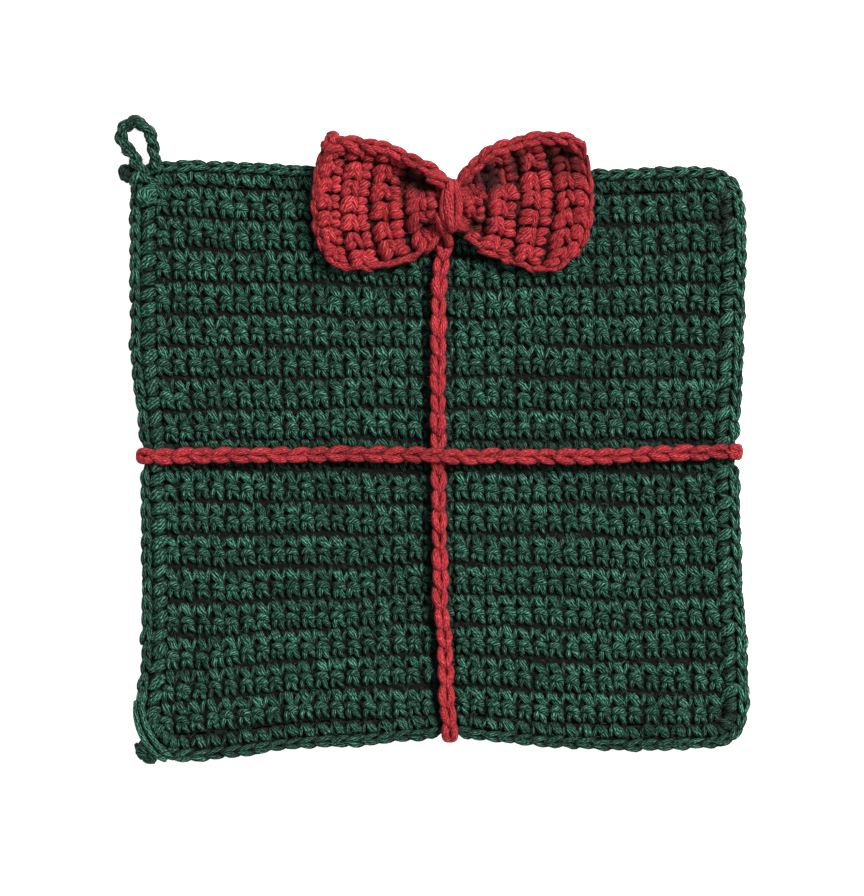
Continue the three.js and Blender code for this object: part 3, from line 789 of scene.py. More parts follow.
# Each tie's place on the edge, how far it draws the edging in, and how wide it reaches.
TIES = (
    (HALF_WIDE, read_pairs(ACROSS_SWAY, HALF_WIDE), 1.6, 1),
    (BOW_X, HALF_HIGH, 3.4, 3),
    (-HALF_WIDE, read_pairs(ACROSS_SWAY, -HALF_WIDE), 1.6, 1),
    (read_pairs(DOWN_SWAY, -HALF_HIGH), -HALF_HIGH, 1.6, 1),
)


def rounded_box(side, run, turn, half_wide, half_high, radii):
    """A point on a box with round corners: its sides count anticlockwise from the right."""
    out, along = (half_high, half_wide) if side % 2 else (half_wide, half_high)
    radius = radii[side]
    start = radii[(side + 3) % 4] - along
    angle = turn * math.pi / 2
    x = out + radius * (math.cos(angle) - 1)
    y = start + (along - radius - start) * run + radius * math.sin(angle)
    spun = side * math.pi / 2
    cosine, sine = math.cos(spun), math.sin(spun)
    return x * cosine - y * sine, x * sine + y * cosine


def steps_around(runs, turns):
    """Steps round a box with round corners, clockwise from the bottom of its right side."""
    steps = []
    for side in range(4):
        steps.extend((side, i / runs, 0) for i in range(runs))
        steps.extend((side, 1, i / turns) for i in range(turns))
    return steps[::-1]


EDGE_STEPS = (180, 24)  # along each side, and round each corner


class EdgingLine:
    """The edging's inner and outer lines, read by the distance round the outer one."""

    def __init__(self):
        steps = steps_around(*EDGE_STEPS)
        half = (HALF_WIDE, HALF_HIGH)
        inner_half = (HALF_WIDE - EDGING, HALF_HIGH - EDGING)
        inner_radii = [radius - EDGING for radius in CORNER_RADII]
        inner = np.array([rounded_box(*s, *inner_half, inner_radii) for s in steps])
        outer = np.array([rounded_box(*s, *half, CORNER_RADII) for s in steps])
        pull = np.zeros(len(steps))
        for x, y, inwards, reach in TIES:
            away = np.hypot(outer[:, 0] - x, outer[:, 1] - y)
            pull += inwards * (1 - smooth(away, DRAWN_FLAT, DRAWN_FLAT + DRAWN_SLOPE * reach))
        self.inner = np.stack(on_fabric(inner[:, 0], inner[:, 1]), axis=-1)
        whole = np.stack(on_fabric(outer[:, 0], outer[:, 1]), axis=-1)
        self.outer = self.inner + (whole - self.inner) * (1 - pull / EDGING)[:, None]
        self.inner = np.vstack([self.inner, self.inner[:1]])
        self.outer = np.vstack([self.outer, self.outer[:1]])
        gaps = np.linalg.norm(np.diff(self.outer, axis=0), axis=1)
        self.at = np.concatenate([[0], np.cumsum(gaps)])
        self.length = self.at[-1]

    def plan(self, s, out):
        """The place of a distance round the edging and a distance out from the panel."""
        s = s % self.length
        share = out / EDGING
        ends = []
        for k in range(2):
            inner = np.interp(s, self.at, self.inner[:, k])
            outer = np.interp(s, self.at, self.outer[:, k])
            ends.append(inner + (outer - inner) * share)
        return ends

    def over_face(self, points):
        x, y = self.plan(points[..., 0], points[..., 1])
        return stacked(x, y, FABRIC - CREST + points[..., 2])

    def over_back(self, points):
        x, y = self.plan(-points[..., 0], points[..., 1])
        return stacked(x, y, CREST - points[..., 2])


EDGE = EdgingLine()

# The legs of the edging's stitches. y is the distance out from the panel.
EDGING_LEGS = (
    Strand((
        (-2.3, 4.4, -2.2, 1.7, 1.7),
        (-1.9, 3.6, -0.9, 2.4, 2.3),
        (-1.0, 2.4, -0.5, 2.7, 2.5),
        (-0.2, 1.0, -0.8, 2.4, 2.2),
        (0.5, -0.4, -2.5, 1.6, 1.6),
    ), sides=6, rings=6, twist=-0.05),
    Strand((
        (-0.8, 4.4, -2.2, 1.7, 1.7),
        (-0.4, 3.6, -0.8, 2.4, 2.3),
        (0.4, 2.3, -0.4, 2.7, 2.5),
        (1.2, 0.9, -0.8, 2.3, 2.1),
        (1.8, -0.4, -2.5, 1.6, 1.6),
    ), sides=6, rings=6, twist=-0.05),
    Strand((
        (2.3, 4.0, -2.5, 1.2, 1.2),
        (2.6, 3.0, -1.5, 1.5, 1.5),
        (2.9, 1.9, -1.5, 1.5, 1.5),
        (3.2, 0.6, -2.5, 1.2, 1.2),
    ), sides=5, rings=5, twist=-0.03),
)
# Along the top and the bottom, and every second one on the right, they have slimmer legs.
EDGING_SLANTS = (
    Strand((
        (-1.9, 4.0, -2.3, 1.3, 1.3),
        (-1.5, 3.2, -1.0, 1.8, 1.8),
        (-0.8, 2.1, -0.7, 2.0, 1.9),
        (0.0, 1.0, -1.1, 1.7, 1.7),
        (0.5, 0.1, -2.4, 1.3, 1.3),
    ), sides=5, rings=5, twist=-0.03),
    Strand((
        (-0.7, 4.0, -2.3, 1.3, 1.3),
        (-0.3, 3.3, -0.9, 1.8, 1.8),
        (0.4, 2.2, -0.6, 2.0, 1.9),
        (1.0, 1.0, -1.1, 1.7, 1.7),
        (1.4, 0.1, -2.4, 1.3, 1.3),
    ), sides=5, rings=5, twist=-0.03),
    Strand((
        (2.6, 3.9, -2.4, 1.3, 1.3),
        (2.4, 3.1, -1.2, 1.6, 1.6),
        (2.1, 2.1, -1.1, 1.7, 1.7),
        (1.8, 0.9, -1.7, 1.5, 1.4),
        (1.6, 0.2, -2.6, 1.2, 1.2),
    ), sides=5, rings=5, twist=-0.03),
)
# Its chain, whose loops point clockwise round the square.
EDGING_CHAIN = (
    Strand((
        (-3.3, 4.9, -2.5, 1.3, 1.3),
        (-1.7, 5.2, -1.1, 1.8, 1.8),
        (0.2, 5.6, -0.8, 2.0, 1.9),
        (2.0, 6.1, -1.1, 1.8, 1.7),
        (3.6, 6.6, -2.4, 1.3, 1.3),
    ), sides=5, rings=7, twist=-0.04),
    Strand((
        (-3.3, 7.0, -3.0, 1.3, 1.3),
        (-1.7, 7.5, -1.7, 1.9, 1.8),
        (0.2, 7.4, -1.2, 2.1, 2.0),
        (2.0, 6.9, -1.2, 1.9, 1.8),
        (3.6, 6.3, -2.4, 1.4, 1.4),
    ), sides=5, rings=7, twist=-0.04),
)
EDGING_LOOSE = 0.13  # how uneven the chain is
EDGING_BACK = 0.95  # how much of its width the chain has behind
EDGING_INSIDE = (-0.5, 6.9)  # from where to where the inside of the edging reaches
EDGING_INSIDE_STEPS = (260, 3)  # round it, and across it
EDGING_SLIT = 0.01  # the gap between its two ends
# Two long loops that the maker drew round the lower left corner.
CORNER_LOOPS = (
    ((-97.8, -79.0, 3.4), (-97.8, -83.0, 4.7), (-96.8, -88.0, 5.1), (-94.2, -93.2, 5.1),
     (-91.4, -97.0, 4.8), (-88.6, -98.8, 3.4)),
    ((-99.6, -81.0, 2.6), (-99.7, -85.0, 4.1), (-98.7, -90.0, 4.5), (-96.1, -95.2, 4.5),
     (-93.0, -98.8, 4.1), (-89.8, -100.4, 2.8)),
)
CORNER_LOOP_WIDTH = 2.1
CORNER_LOOP_SHADE = 0.4
# The edging's first stitch, a small lump at the upper left corner: its place, size, turn and
# brightness.
FIRST_STITCH = ((-96.7, 85.6, 4.8), 1.35, 0.9, -0.1)
# How bright the edging's chain and legs are, right, at the top, left and at the bottom: painted light
# on the right, which faces the light, and painted shade on the left and at the bottom.
CHAIN_PAINTED_LIGHT = (0.7, 0.0, -0.6, -0.8)
LEG_PAINTED_LIGHT = (0.0, -0.1, -0.5, -0.5)


def edging_ground():
    """The inside of the edging."""
    around, across = EDGING_INSIDE_STEPS
    s = np.linspace(0, EDGE.length - EDGING_SLIT, around)
    out = np.linspace(*EDGING_INSIDE, across)
    flat = stacked(s[:, None], out[None, :], -GROUND_DEPTH)
    front = EDGE.over_face(flat)
    back = EDGE.over_back(flat * (-1, 1, 1))
    return grid_slab("edging_ground", front, back, GREEN_INSIDE_PAINTED_SHADE, "edging")


def edging_pieces():
    """The edging's legs and chain, in front and behind."""
    count = round(EDGE.length / STITCH)
    at = stacked((np.arange(count) + 0.5) * EDGE.length / count, 0, 0)[..., :2]
    x, y = EDGE.plan(at[:, 0], np.zeros(count))
    at_side = np.abs(x) * HALF_HIGH > np.abs(y) * HALF_WIDE
    side_numbers = np.where(at_side, np.where(x > 0, 0, 2), np.where(y > 0, 1, 3))
    chain_painted_light = np.array(CHAIN_PAINTED_LIGHT)[side_numbers]
    leg_painted_light = np.array(LEG_PAINTED_LIGHT)[side_numbers]
    slim = ~at_side | ((x > 0) & (np.arange(count) % 2 == 0))
    pieces = []
    for side, over, width in (("face", EDGE.over_face, 1.0), ("back", EDGE.over_back, EDGING_BACK)):
        skein = Skein()
        skein.stitches(EDGING_LEGS, at[~slim], over, shade=leg_painted_light[~slim])
        skein.stitches(EDGING_SLANTS, at[slim], over, shade=leg_painted_light[slim])
        pieces.append(skein.made(f"edging_{side}_legs", GREEN, "green_yarn", "edging"))
        skein = Skein()
        chain = scaled(EDGING_CHAIN, across=width)
        skein.stitches(chain, at, over, EDGING_LOOSE, shade=chain_painted_light)
        if side == "face":
            for route in CORNER_LOOPS:
                skein.route(route, CORNER_LOOP_WIDTH, CORNER_LOOP_SHADE)
            skein.knot(*FIRST_STITCH)
        pieces.append(skein.made(f"edging_{side}_chain", GREEN, "green_yarn", "edging"))
    return pieces


# A small knot of yarn.
KNOT = (
    Strand((
        (-2.0, -1.2, -1.2, 1.3, 1.3),
        (-1.0, 0.6, 0.4, 2.2, 2.0),
        (0.6, 1.2, 0.6, 2.3, 2.1),
        (1.9, 0.0, -0.8, 1.6, 1.5),
    ), sides=6, rings=8, twist=-0.1),
    Strand((
        (-1.4, -1.9, -1.0, 1.4, 1.4),
        (-0.2, -0.5, 1.0, 2.3, 2.1),
        (1.3, -0.7, 0.8, 2.2, 2.0),
        (2.1, -2.2, -0.8, 1.5, 1.4),
    ), sides=6, rings=8, twist=-0.1),
    Strand((
        (-0.8, 1.6, -1.4, 1.2, 1.2),
        (-1.2, 0.2, -0.2, 2.0, 1.8),
        (-0.6, -1.6, 0.0, 2.0, 1.8),
        (0.6, -3.2, -0.6, 1.6, 1.4),
    ), sides=6, rings=8, twist=-0.1),
)
KNOT_LOOSE = 0.2


# Cords of chain stitch

# A chain stitch from above. Its point is at -x, where it comes up through the stitch before, and
# its two arms spread to close round the next one's point.
CHAIN_PITCH = 6.3
CHAIN = (
    Strand((
        (-3.7, 0.15, -0.6, 1.8, 1.5),
        (-2.3, 0.6, 0.35, 2.4, 2.1),
        (-0.4, 1.25, 0.5, 2.6, 2.3),
        (1.6, 1.5, 0.25, 2.4, 2.2),
        (3.3, 1.3, -0.5, 2.1, 1.9),
        (4.9, 0.7, -1.6, 1.5, 1.4),
    ), rings=9, twist=-0.04),
    Strand((
        (-3.1, -0.15, -0.6, 1.8, 1.5),
        (-1.6, -0.7, 0.4, 2.5, 2.1),
        (0.4, -1.35, 0.5, 2.7, 2.4),
        (2.4, -1.5, 0.1, 2.4, 2.2),
        (4.1, -1.25, -0.6, 2.0, 1.8),
        (5.6, -0.6, -1.7, 1.5, 1.4),
    ), rings=9, twist=-0.04),
)
CHAIN_BACK = (
    Strand((
        (-3.6, 0.0, -0.2, 1.6, 1.3),
        (-1.4, 0.0, -0.75, 2.8, 1.5),
        (1.4, 0.0, -0.75, 2.8, 1.5),
        (3.6, 0.0, -0.2, 1.6, 1.3),
    ), rings=6),
)


LINE_STEPS = 400  # the points that a cord's line is kept as


class CordLine:
    """A cord's middle line, the direction of its width, and its thickness, by the distance."""

    def __init__(self, centres, sides, thickness=1.0):
        centres = np.asarray(centres, float)
        knots = np.concatenate([[0], np.cumsum(np.linalg.norm(np.diff(centres, axis=0), axis=1))])
        self.length = knots[-1]
        self.at = np.linspace(0, self.length, LINE_STEPS)
        self.centres = read(knots, centres, self.at)
        along = unit(np.gradient(self.centres, axis=0))
        given = np.broadcast_to(np.asarray(sides, float), centres.shape)
        side = read(knots, given, self.at)
        self.sides = unit(side - np.sum(side * along, axis=1, keepdims=True) * along)
        self.ups = np.cross(self.sides, along)
        thick = np.broadcast_to(np.asarray(thickness, float), len(centres))
        self.thick = read(knots, thick, self.at)[:, 0]

    def read_line(self, line, s):
        return np.stack([np.interp(s, self.at, line[:, k]) for k in range(3)], axis=-1)

    def over(self, points):
        """Lays a flat drawing along the cord, x along it and y across it."""
        s = points[..., 0]
        thick = np.interp(s, self.at, self.thick)[..., None]
        across = self.read_line(self.sides, s) * points[..., 1:2]
        upwards = self.read_line(self.ups, s) * points[..., 2:] * thick
        return self.read_line(self.centres, s) + across + upwards

    def places(self, pitch, start=2.0, end=2.0):
        """The places of stitches at about a pitch, from start to end short of the line's ends."""
        count = max(1, round((self.length - start - end) / pitch))
        at = start + (np.arange(count) + 0.5) * (self.length - start - end) / count
        return stacked(at, 0, 0)[..., :2]


RIBBON_THICK = 3.0
SQUEEZED = 2.0  # a ribbon's thickness at the crossing and round an edge
SQUEEZED_REACH = 6  # how far inwards from its folded ends a ribbon is thinner
END_INSET = 1.6  # how far inside the fabric's edge a ribbon starts to fold round it
# A ribbon's fold round an edge: how far out from there, and at what height.
FOLD = ((-1.9, FACE + 1.0), (0.4, FACE + 0.4), (1.3, FABRIC - 0.9), (1.3, FABRIC / 2), (1.3, 0.9))
FOLD_RUN = 5  # how far before that the ribbon's straight part ends
CROSSING_FLAT = 4  # half the length over which one ribbon lies level on the other
CROSSING_SLOPE = 7  # the length over which it comes down again
CROSSING_LIFT = 2.3  # how far it rises
DOWN_TOP = 73.0  # where the upright ribbon's flat part ends, under the bow
ACROSS_STEPS = 76  # points along the straight part of each ribbon
DOWN_STEPS = 70


def ribbon_end(side):
    """Where a ribbon meets the left, right or lower edge, as sides 0, 1 and 2: its place on the
    true square, and on the uneven fabric."""
    if side == 2:
        x, y = read_pairs(DOWN_SWAY, -HALF_HIGH), -HALF_HIGH
    else:
        x = (-HALF_WIDE, HALF_WIDE)[side]
        y = read_pairs(ACROSS_SWAY, x)
    return (float(x), float(y)), tuple(float(value) for value in on_fabric(x, y))


def ribbon_across():
    """The line of the ribbon from side to side, which runs over the other one."""
    ends = []
    for side in (0, 1):
        true, laid = ribbon_end(side)
        ends.append((abs(laid[0]) - END_INSET, true[1]))
    (left, left_y), (right, right_y) = ends
    x = np.linspace(FOLD_RUN - left, right - FOLD_RUN, ACROSS_STEPS)
    thinned = 1 - smooth(np.minimum(x - x[0], x[-1] - x), 0, SQUEEZED_REACH)
    thick = RIBBON_THICK + (SQUEEZED - RIBBON_THICK) * thinned
    over_other = 1 - smooth(np.abs(x), CROSSING_FLAT, CROSSING_FLAT + CROSSING_SLOPE)
    face = stacked(x, read_pairs(ACROSS_SWAY, x), FACE + CROSSING_LIFT * over_other + thick / 2)
    left_fold = [(-left - out, left_y, z) for out, z in FOLD][::-1]
    right_fold = [(right + out, right_y, z) for out, z in FOLD]
    folded = [SQUEEZED] * len(FOLD)
    thickness = np.concatenate([folded, thick, folded]) / RIBBON_THICK
    return CordLine(np.vstack([left_fold, face, right_fold]), (0, -1, 0), thickness)


def ribbon_down():
    """The line of the upright ribbon, from the lower edge to the bow."""
    true, laid = ribbon_end(2)
    edge = abs(laid[1]) - END_INSET
    y = np.linspace(FOLD_RUN - edge, DOWN_TOP, DOWN_STEPS)
    thinned = 1 - smooth(np.minimum(y - y[0], y[-1] - y), 0, SQUEEZED_REACH)
    crossing = 1 - smooth(np.abs(y), CROSSING_FLAT, CROSSING_FLAT + CROSSING_SLOPE)
    thick = RIBBON_THICK + (SQUEEZED - RIBBON_THICK) * np.maximum(thinned, crossing)
    face = stacked(read_pairs(DOWN_SWAY, y), y, FACE + thick / 2)
    fold = [(true[0], -edge - out, z) for out, z in FOLD][::-1]
    thickness = np.concatenate([[SQUEEZED] * len(FOLD), thick]) / RIBBON_THICK
    return CordLine(np.vstack([fold, face]), (1, 0, 0), thickness)


# Where the upright ribbon's upper end climbs over the bow's lower edge to the binding.
CLIMB = ((3.9, 69.6, 8.4), (3.0, 72.2, 11.4), (1.6, 75.0, 14.6), (0.5, 77.6, 15.6), (0.1, 79.6, 14.8))
CLIMB_WIDTH = 3.0
CLIMB_SHADE = 0.7
CORD_LOOSE = 0.12  # how uneven a ribbon's stitches are
# The loop of yarn that closes a ribbon's end: how far out from where the fold starts, how far
# across, and its height.
END_LOOP = (
    (-1.8, -1.2, FACE + 1.4),
    (0.2, -1.5, FACE + 1.2),
    (1.3, -1.1, FACE + 0.5),
    (1.5, 0.0, FACE + 0.2),
    (1.3, 1.1, FACE + 0.5),
    (0.2, 1.5, FACE + 1.2),
    (-1.8, 1.2, FACE + 1.4),
)
END_LOOP_WIDTH = 2.7
END_LOOP_SHADE = 0.2


def end_loop(side):
    """The route of the loop round the left, right or lower end of a ribbon."""
    _, (x, y) = ribbon_end(side)
    if side == 2:
        return [(x + across, y + END_INSET - out, height) for out, across, height in END_LOOP]
    outwards = (-1, 1)[side]
    x -= outwards * END_INSET
    return [(x + outwards * out, y + across, height) for out, across, height in END_LOOP]


def ribbon_piece(name, line, node, shade, ends, climb=()):
    """A ribbon of chain stitch along a line, with the loops at its ends."""
    skein = Skein(CORD_DARK)
    at = line.places(CHAIN_PITCH)
    skein.stitches(CHAIN + CHAIN_BACK, at, line.over, CORD_LOOSE, shade=shade)
    for side in ends:
        skein.route(end_loop(side), END_LOOP_WIDTH, END_LOOP_SHADE)
    if climb:
        skein.route(climb, CLIMB_WIDTH, CLIMB_SHADE)
    return skein.made(name, RED, "red_yarn", node)


# The hanging loop's route, with heights. It starts inside the top edging and ends over the
# front of the corner.
LOOP_ROUTE = (
    (-92.6, 93.4, 3.6),
    (-93.3, 96.4, 3.0),
    (-93.8, 99.8, 2.6),
    (-94.4, 103.4, 2.6),
    (-95.3, 106.9, 2.6),
    (-97.6, 109.3, 2.6),
    (-100.9, 109.9, 2.6),
    (-103.7, 108.7, 2.6),
    (-104.8, 106.3, 2.6),
    (-104.1, 103.9, 2.6),
    (-102.5, 101.4, 2.8),
    (-100.7, 99.2, 3.6),
    (-99.6, 97.0, 4.8),
    (-98.7, 95.0, 5.5),
    (-97.4, 93.2, 5.5),
    (-96.0, 91.2, 3.8),
)
# The loop's two strands wind round each other.
ROPE_TURN = 9.4  # the length of one turn
ROPE_RADIUS = 1.05
ROPE_WIDTH = 2.6
ROPE_SWELL = 0.16  # how much fatter a strand is on top of the rope, and slimmer below
ROPE_STARTS = (0.1, 0.6)  # where round the rope each strand starts, as a share of a turn
ROPE_WAVER = 0.02  # how unevenly they wind, as a share of a turn
ROPE_UNEVEN = 0.05  # and how uneven their width is, as a share of it
ROPE_END = 0.2  # how far short of the route's ends they stop
ROPE_STEPS = 70  # the points that each strand passes
ROPE_SIDES = 8
ROPE_RINGS = 210
ROPE_TWIST = 0.06
ROPE_SHADE = -0.7
# The round bump on the loop's top.
LOOP_BUMP = ((-101.9, 109.5, 3.2), (-100.9, 111.0, 4.6), (-99.2, 111.0, 4.8), (-98.2, 109.6, 3.4))
LOOP_BUMP_WIDTH = 3.2
LOOP_BUMP_SHADE = -0.5


def loop_line():
    route = np.array(LOOP_ROUTE)
    sides = unit(np.cross(np.gradient(route, axis=0), (0, 0, 1)))
    return CordLine(route, sides)


def loop_piece():
    """The hanging loop, two strands wound round each other."""
    skein = Skein(ROPE_DARK)
    at = np.linspace(ROPE_END, LOOP.length - ROPE_END, ROPE_STEPS)
    for start in ROPE_STARTS:
        angle = (at / ROPE_TURN + start + random.normal(0, ROPE_WAVER, len(at))) * SWEEP
        uneven = random.normal(0, ROPE_UNEVEN, len(at))
        width = ROPE_WIDTH * (1 + ROPE_SWELL * np.sin(angle) + uneven)
        rows = stacked(at, ROPE_RADIUS * np.cos(angle), ROPE_RADIUS * np.sin(angle))
        rows = np.column_stack([rows, width, width])
        strand = Strand(rows, ROPE_SIDES, ROPE_RINGS, ROPE_TWIST)
        drawn = strand.rows[None]
        skein.lay(strand, drawn[..., :3], drawn[..., 3:], LOOP.over, np.array([ROPE_SHADE]))
    skein.route(LOOP_BUMP, LOOP_BUMP_WIDTH, LOOP_BUMP_SHADE)
    return skein.made("hanging_loop_chain", GREEN, "green_yarn", "hanging_loop")


# The bow

# Sections across the bow: place along it, its lower and upper edge, and the heights of its
# hem, hollow, ridge, pocket and rim.
BOW_SECTIONS = (
    (-45.7, -17.0, 18.8, 11.0, 11.0, 11.6, 11.4, 12.0),
    (-38.0, -20.9, 22.9, 10.3, 10.3, 10.8, 10.6, 12.4),
    (-28.0, -20.9, 22.0, 10.0, 10.1, 10.8, 10.2, 13.6),
    (-21.0, -20.0, 20.3, 10.0, 10.2, 11.8, 9.8, 15.0),
    (-14.0, -18.0, 16.6, 10.4, 10.4, 14.2, 9.1, 16.2),
    (-8.0, -13.8, 13.4, 11.6, 10.6, 16.4, 9.1, 16.8),
    (-5.2, -11.2, 11.4, 12.6, 10.8, 16.9, 9.6, 16.0),
    (-3.6, -8.3, 9.6, 13.0, 13.4, 16.6, 12.6, 14.4),
    (0.0, -7.2, 8.2, 14.0, 16.0, 16.6, 16.0, 12.6),
    (3.6, -7.8, 9.6, 13.0, 13.4, 16.6, 12.6, 14.4),
    (5.2, -11.0, 11.4, 13.0, 10.8, 16.9, 9.6, 16.0),
    (8.5, -14.0, 15.0, 12.0, 10.4, 16.2, 9.1, 16.6),
    (14.0, -17.0, 19.6, 11.0, 10.4, 14.2, 9.3, 16.4),
    (21.0, -19.6, 22.0, 10.4, 10.4, 12.4, 9.6, 16.0),
    (28.0, -21.8, 23.9, 10.0, 10.2, 11.2, 9.4, 15.8),
    (36.0, -21.2, 24.0, 10.0, 10.2, 10.8, 9.5, 16.2),
    (42.0, -17.8, 23.2, 10.4, 10.6, 11.2, 10.6, 15.6),
    (47.0, -13.5, 18.6, 11.4, 12.0, 12.6, 12.6, 14.0),
)
# The furrows between its pairs of rows, left and right of the binding.
BOW_FURROWS = (-45.3, -37.0, -27.0, -16.0, -3.4, 3.2, 11.8, 22.6, 33.5, 45.2)
BOW_ENDS = (-45.7, 47.0)
BOW_REACH = 46.0  # about how far its ends are from its middle
BOW_TALL = 44.0  # the strip's flat height
BOW_THICK = 4.2
BACK_DRAWN_IN = 0.86  # how far its back's stitches keep inside its edges
GATHERED = (7, 14)  # how far from the binding its gathered part starts to end, and ends
SEAT = 5.6  # the lowest that its back lies
SEAT_RAISED = 2.4  # how much higher that is where it is gathered
SEAT_CURVED = 1.4  # and how much more at the edges there
GATHERED_THICK = 4.3
ENDS_DRAWN_IN = 4.2  # how far the corners are drawn in towards the binding


def bow_surface(along, up, behind=False):
    """A point of the bow's front or back. up runs from -1 at its lower edge to 1."""
    columns = read([row[0] for row in BOW_SECTIONS], [row[1:] for row in BOW_SECTIONS], along)
    bottom, top = columns[..., 0], columns[..., 1]
    weights = read(np.linspace(-1, 1, 5), np.eye(5), up)
    height = np.sum(weights * columns[..., 2:], axis=-1)
    if behind:
        gathered = 1 - smooth(np.abs(along), *GATHERED)
        seat = SEAT + gathered * (SEAT_RAISED + SEAT_CURVED * up**4)
        height = np.maximum(seat, height - BOW_THICK - gathered * GATHERED_THICK)
    drawn_in = ENDS_DRAWN_IN * up**2 * (along / BOW_REACH) ** 4
    x = BOW_X + along - np.sign(along) * drawn_in
    y = BOW_Y + bottom + (top - bottom) * (up + 1) / 2
    return stacked(x, y, height)


BOW_GRID = (160, 73)  # the points that a side is kept as, along the bow and over its folds
BOW_FINE = 145  # and those over its folds that they are measured with


class BowSide:
    """A side of the bow as a grid, whose second direction is measured over its folds."""

    def __init__(self, behind):
        self.along = np.linspace(*BOW_ENDS, BOW_GRID[0])
        self.share = np.linspace(0, 1, BOW_GRID[1])
        up = np.linspace(-1, 1, BOW_FINE)
        raw = bow_surface(self.along[:, None], up[None, :], behind)
        gaps = np.linalg.norm(np.diff(raw, axis=1), axis=-1)
        lengths = np.concatenate([np.zeros((len(gaps), 1)), np.cumsum(gaps, axis=1)], axis=1)
        self.points = np.empty((len(self.along), len(self.share), 3))
        for i, length in enumerate(lengths):
            for k in range(3):
                self.points[i, :, k] = np.interp(self.share * length[-1], length, raw[i, :, k])
        normals = np.cross(np.gradient(self.points, axis=0), np.gradient(self.points, axis=1))
        self.normals = unit(-normals if behind else normals)

    def at(self, along, share):
        """The point and the outward direction at places along and up the strip."""
        i = np.interp(along, self.along, np.arange(len(self.along)))
        j = np.interp(share, self.share, np.arange(len(self.share)))
        i0 = np.minimum(i.astype(int), len(self.along) - 2)
        j0 = np.minimum(j.astype(int), len(self.share) - 2)
        fi, fj = (i - i0)[..., None], (j - j0)[..., None]
        found = []
        for grid in (self.points, self.normals):
            low = grid[i0, j0] * (1 - fj) + grid[i0, j0 + 1] * fj
            high = grid[i0 + 1, j0] * (1 - fj) + grid[i0 + 1, j0 + 1] * fj
            found.append(low * (1 - fi) + high * fi)
        return found


BOW_FRONT = BowSide(False)
BOW_BACK = BowSide(True)


ROWS_BENT = 4.0  # how far the ends of the bow's rows bend towards the binding
BEND_STARTS = (3, 12)  # from where to where, out from the binding, the bend comes in
BEND_ENDS = (30, 46)  # and goes out again


def over_bow(points, side=BOW_FRONT):
    """Lays a flat strip on the bow. x runs up the bow and -y along it, a pair to a furrow."""
    pairs = -points[..., 1] / PAIR
    along = np.interp(pairs, np.arange(len(BOW_FURROWS)), BOW_FURROWS)
    up = points[..., 0] / BOW_TALL
    reach = np.abs(along)
    bent = smooth(reach, *BEND_STARTS) * (1 - smooth(reach, *BEND_ENDS)) * (2 * up) ** 2
    place, out = side.at(along - np.sign(along) * ROWS_BENT * bent, 0.5 + up)
    return place + out * points[..., 2:]


def over_bow_back(points):
    return over_bow(points * (-BACK_DRAWN_IN, 1, 1), BOW_BACK)


BOW_STITCH = 5.2  # the length up the bow that its stitches are drawn for
BOW_LOOSE = 0.23  # how uneven they are
# Its pairs of rows but the one in the binding: each one's number, how many stitches it has, how
# far apart they lie, how far they are shifted up the flat strip and along it, how fat they are
# and how bright.
BOW_ROWS = (
    (0, 7, 5.8, 0.3, -0.8, 0.96, 0.0),
    (1, 7, 5.8, -0.8, 0.0, 1.08, 0.0),
    (2, 6, 6.6, 0.6, 0.0, 1.16, -0.1),
    (3, 5, 8.0, -0.9, 0.0, 1.22, -0.1),
    (5, 5, 8.0, 0.5, 0.0, 0.96, -0.3),
    (6, 6, 6.6, -0.8, 0.0, 1.16, -0.3),
    (7, 7, 5.8, 0.4, 0.0, 1.1, -0.5),
    (8, 7, 5.8, -0.5, 0.3, 1.02, -0.5),
)


def lay_on_bow(skein, stitch, over, first):
    """Lays a stitch along each of the bow's pairs of rows."""
    for pair, count, pitch, shift, inwards, fat, shade in BOW_ROWS:
        up = (np.arange(count) - (count - 1) / 2) * pitch + shift
        at = stacked(up, -pair * PAIR - first + inwards, 0)[:, :2]
        drawn_out = scaled(stitch, pitch / BOW_STITCH)
        skein.stitches(drawn_out, at, over, BOW_LOOSE, fat=fat, shade=shade)


# The bow's stitches are looser and fatter than the square's.
BOW_V = (
    Strand((
        (-0.3, -1.0, -2.3, 1.9, 1.8),
        (0.3, -1.6, -0.7, 2.7, 2.5),
        (1.1, -2.7, -0.2, 3.0, 2.8),
        (1.6, -3.7, -0.6, 2.7, 2.4),
        (1.8, -4.7, -2.3, 1.9, 1.7),
    ), rings=8, twist=-0.07),
    Strand((
        (-2.0, -1.0, -2.4, 1.9, 1.8),
        (-1.7, -1.6, -0.8, 2.7, 2.5),
        (-1.0, -2.7, -0.3, 3.0, 2.8),
        (-0.4, -3.8, -0.7, 2.7, 2.4),
        (-0.1, -4.7, -2.4, 1.9, 1.7),
    ), rings=8, twist=-0.07),
    Strand((
        (2.2, -4.7, -2.1, 1.7, 1.6),
        (1.5, -4.9, -0.6, 2.4, 2.2),
        (0.0, -5.3, -0.3, 2.7, 2.4),
        (-1.5, -5.8, -0.7, 2.3, 2.1),
        (-2.3, -6.1, -2.3, 1.7, 1.6),
    ), rings=8, twist=-0.05),
)
BOW_BUD = (
    Strand((
        (0.6, -6.1, -2.3, 1.9, 1.7),
        (0.9, -6.8, -0.7, 2.8, 2.5),
        (1.2, -8.0, -0.3, 3.1, 2.7),
        (1.4, -9.3, -2.2, 2.0, 1.8),
    ), rings=7, twist=-0.08),
    Strand((
        (-1.2, -6.2, -2.3, 1.9, 1.7),
        (-1.0, -6.9, -0.6, 2.8, 2.5),
        (-1.0, -8.1, -0.2, 3.1, 2.8),
        (-1.4, -9.4, -2.2, 2.0, 1.8),
    ), rings=7, twist=-0.08),
)


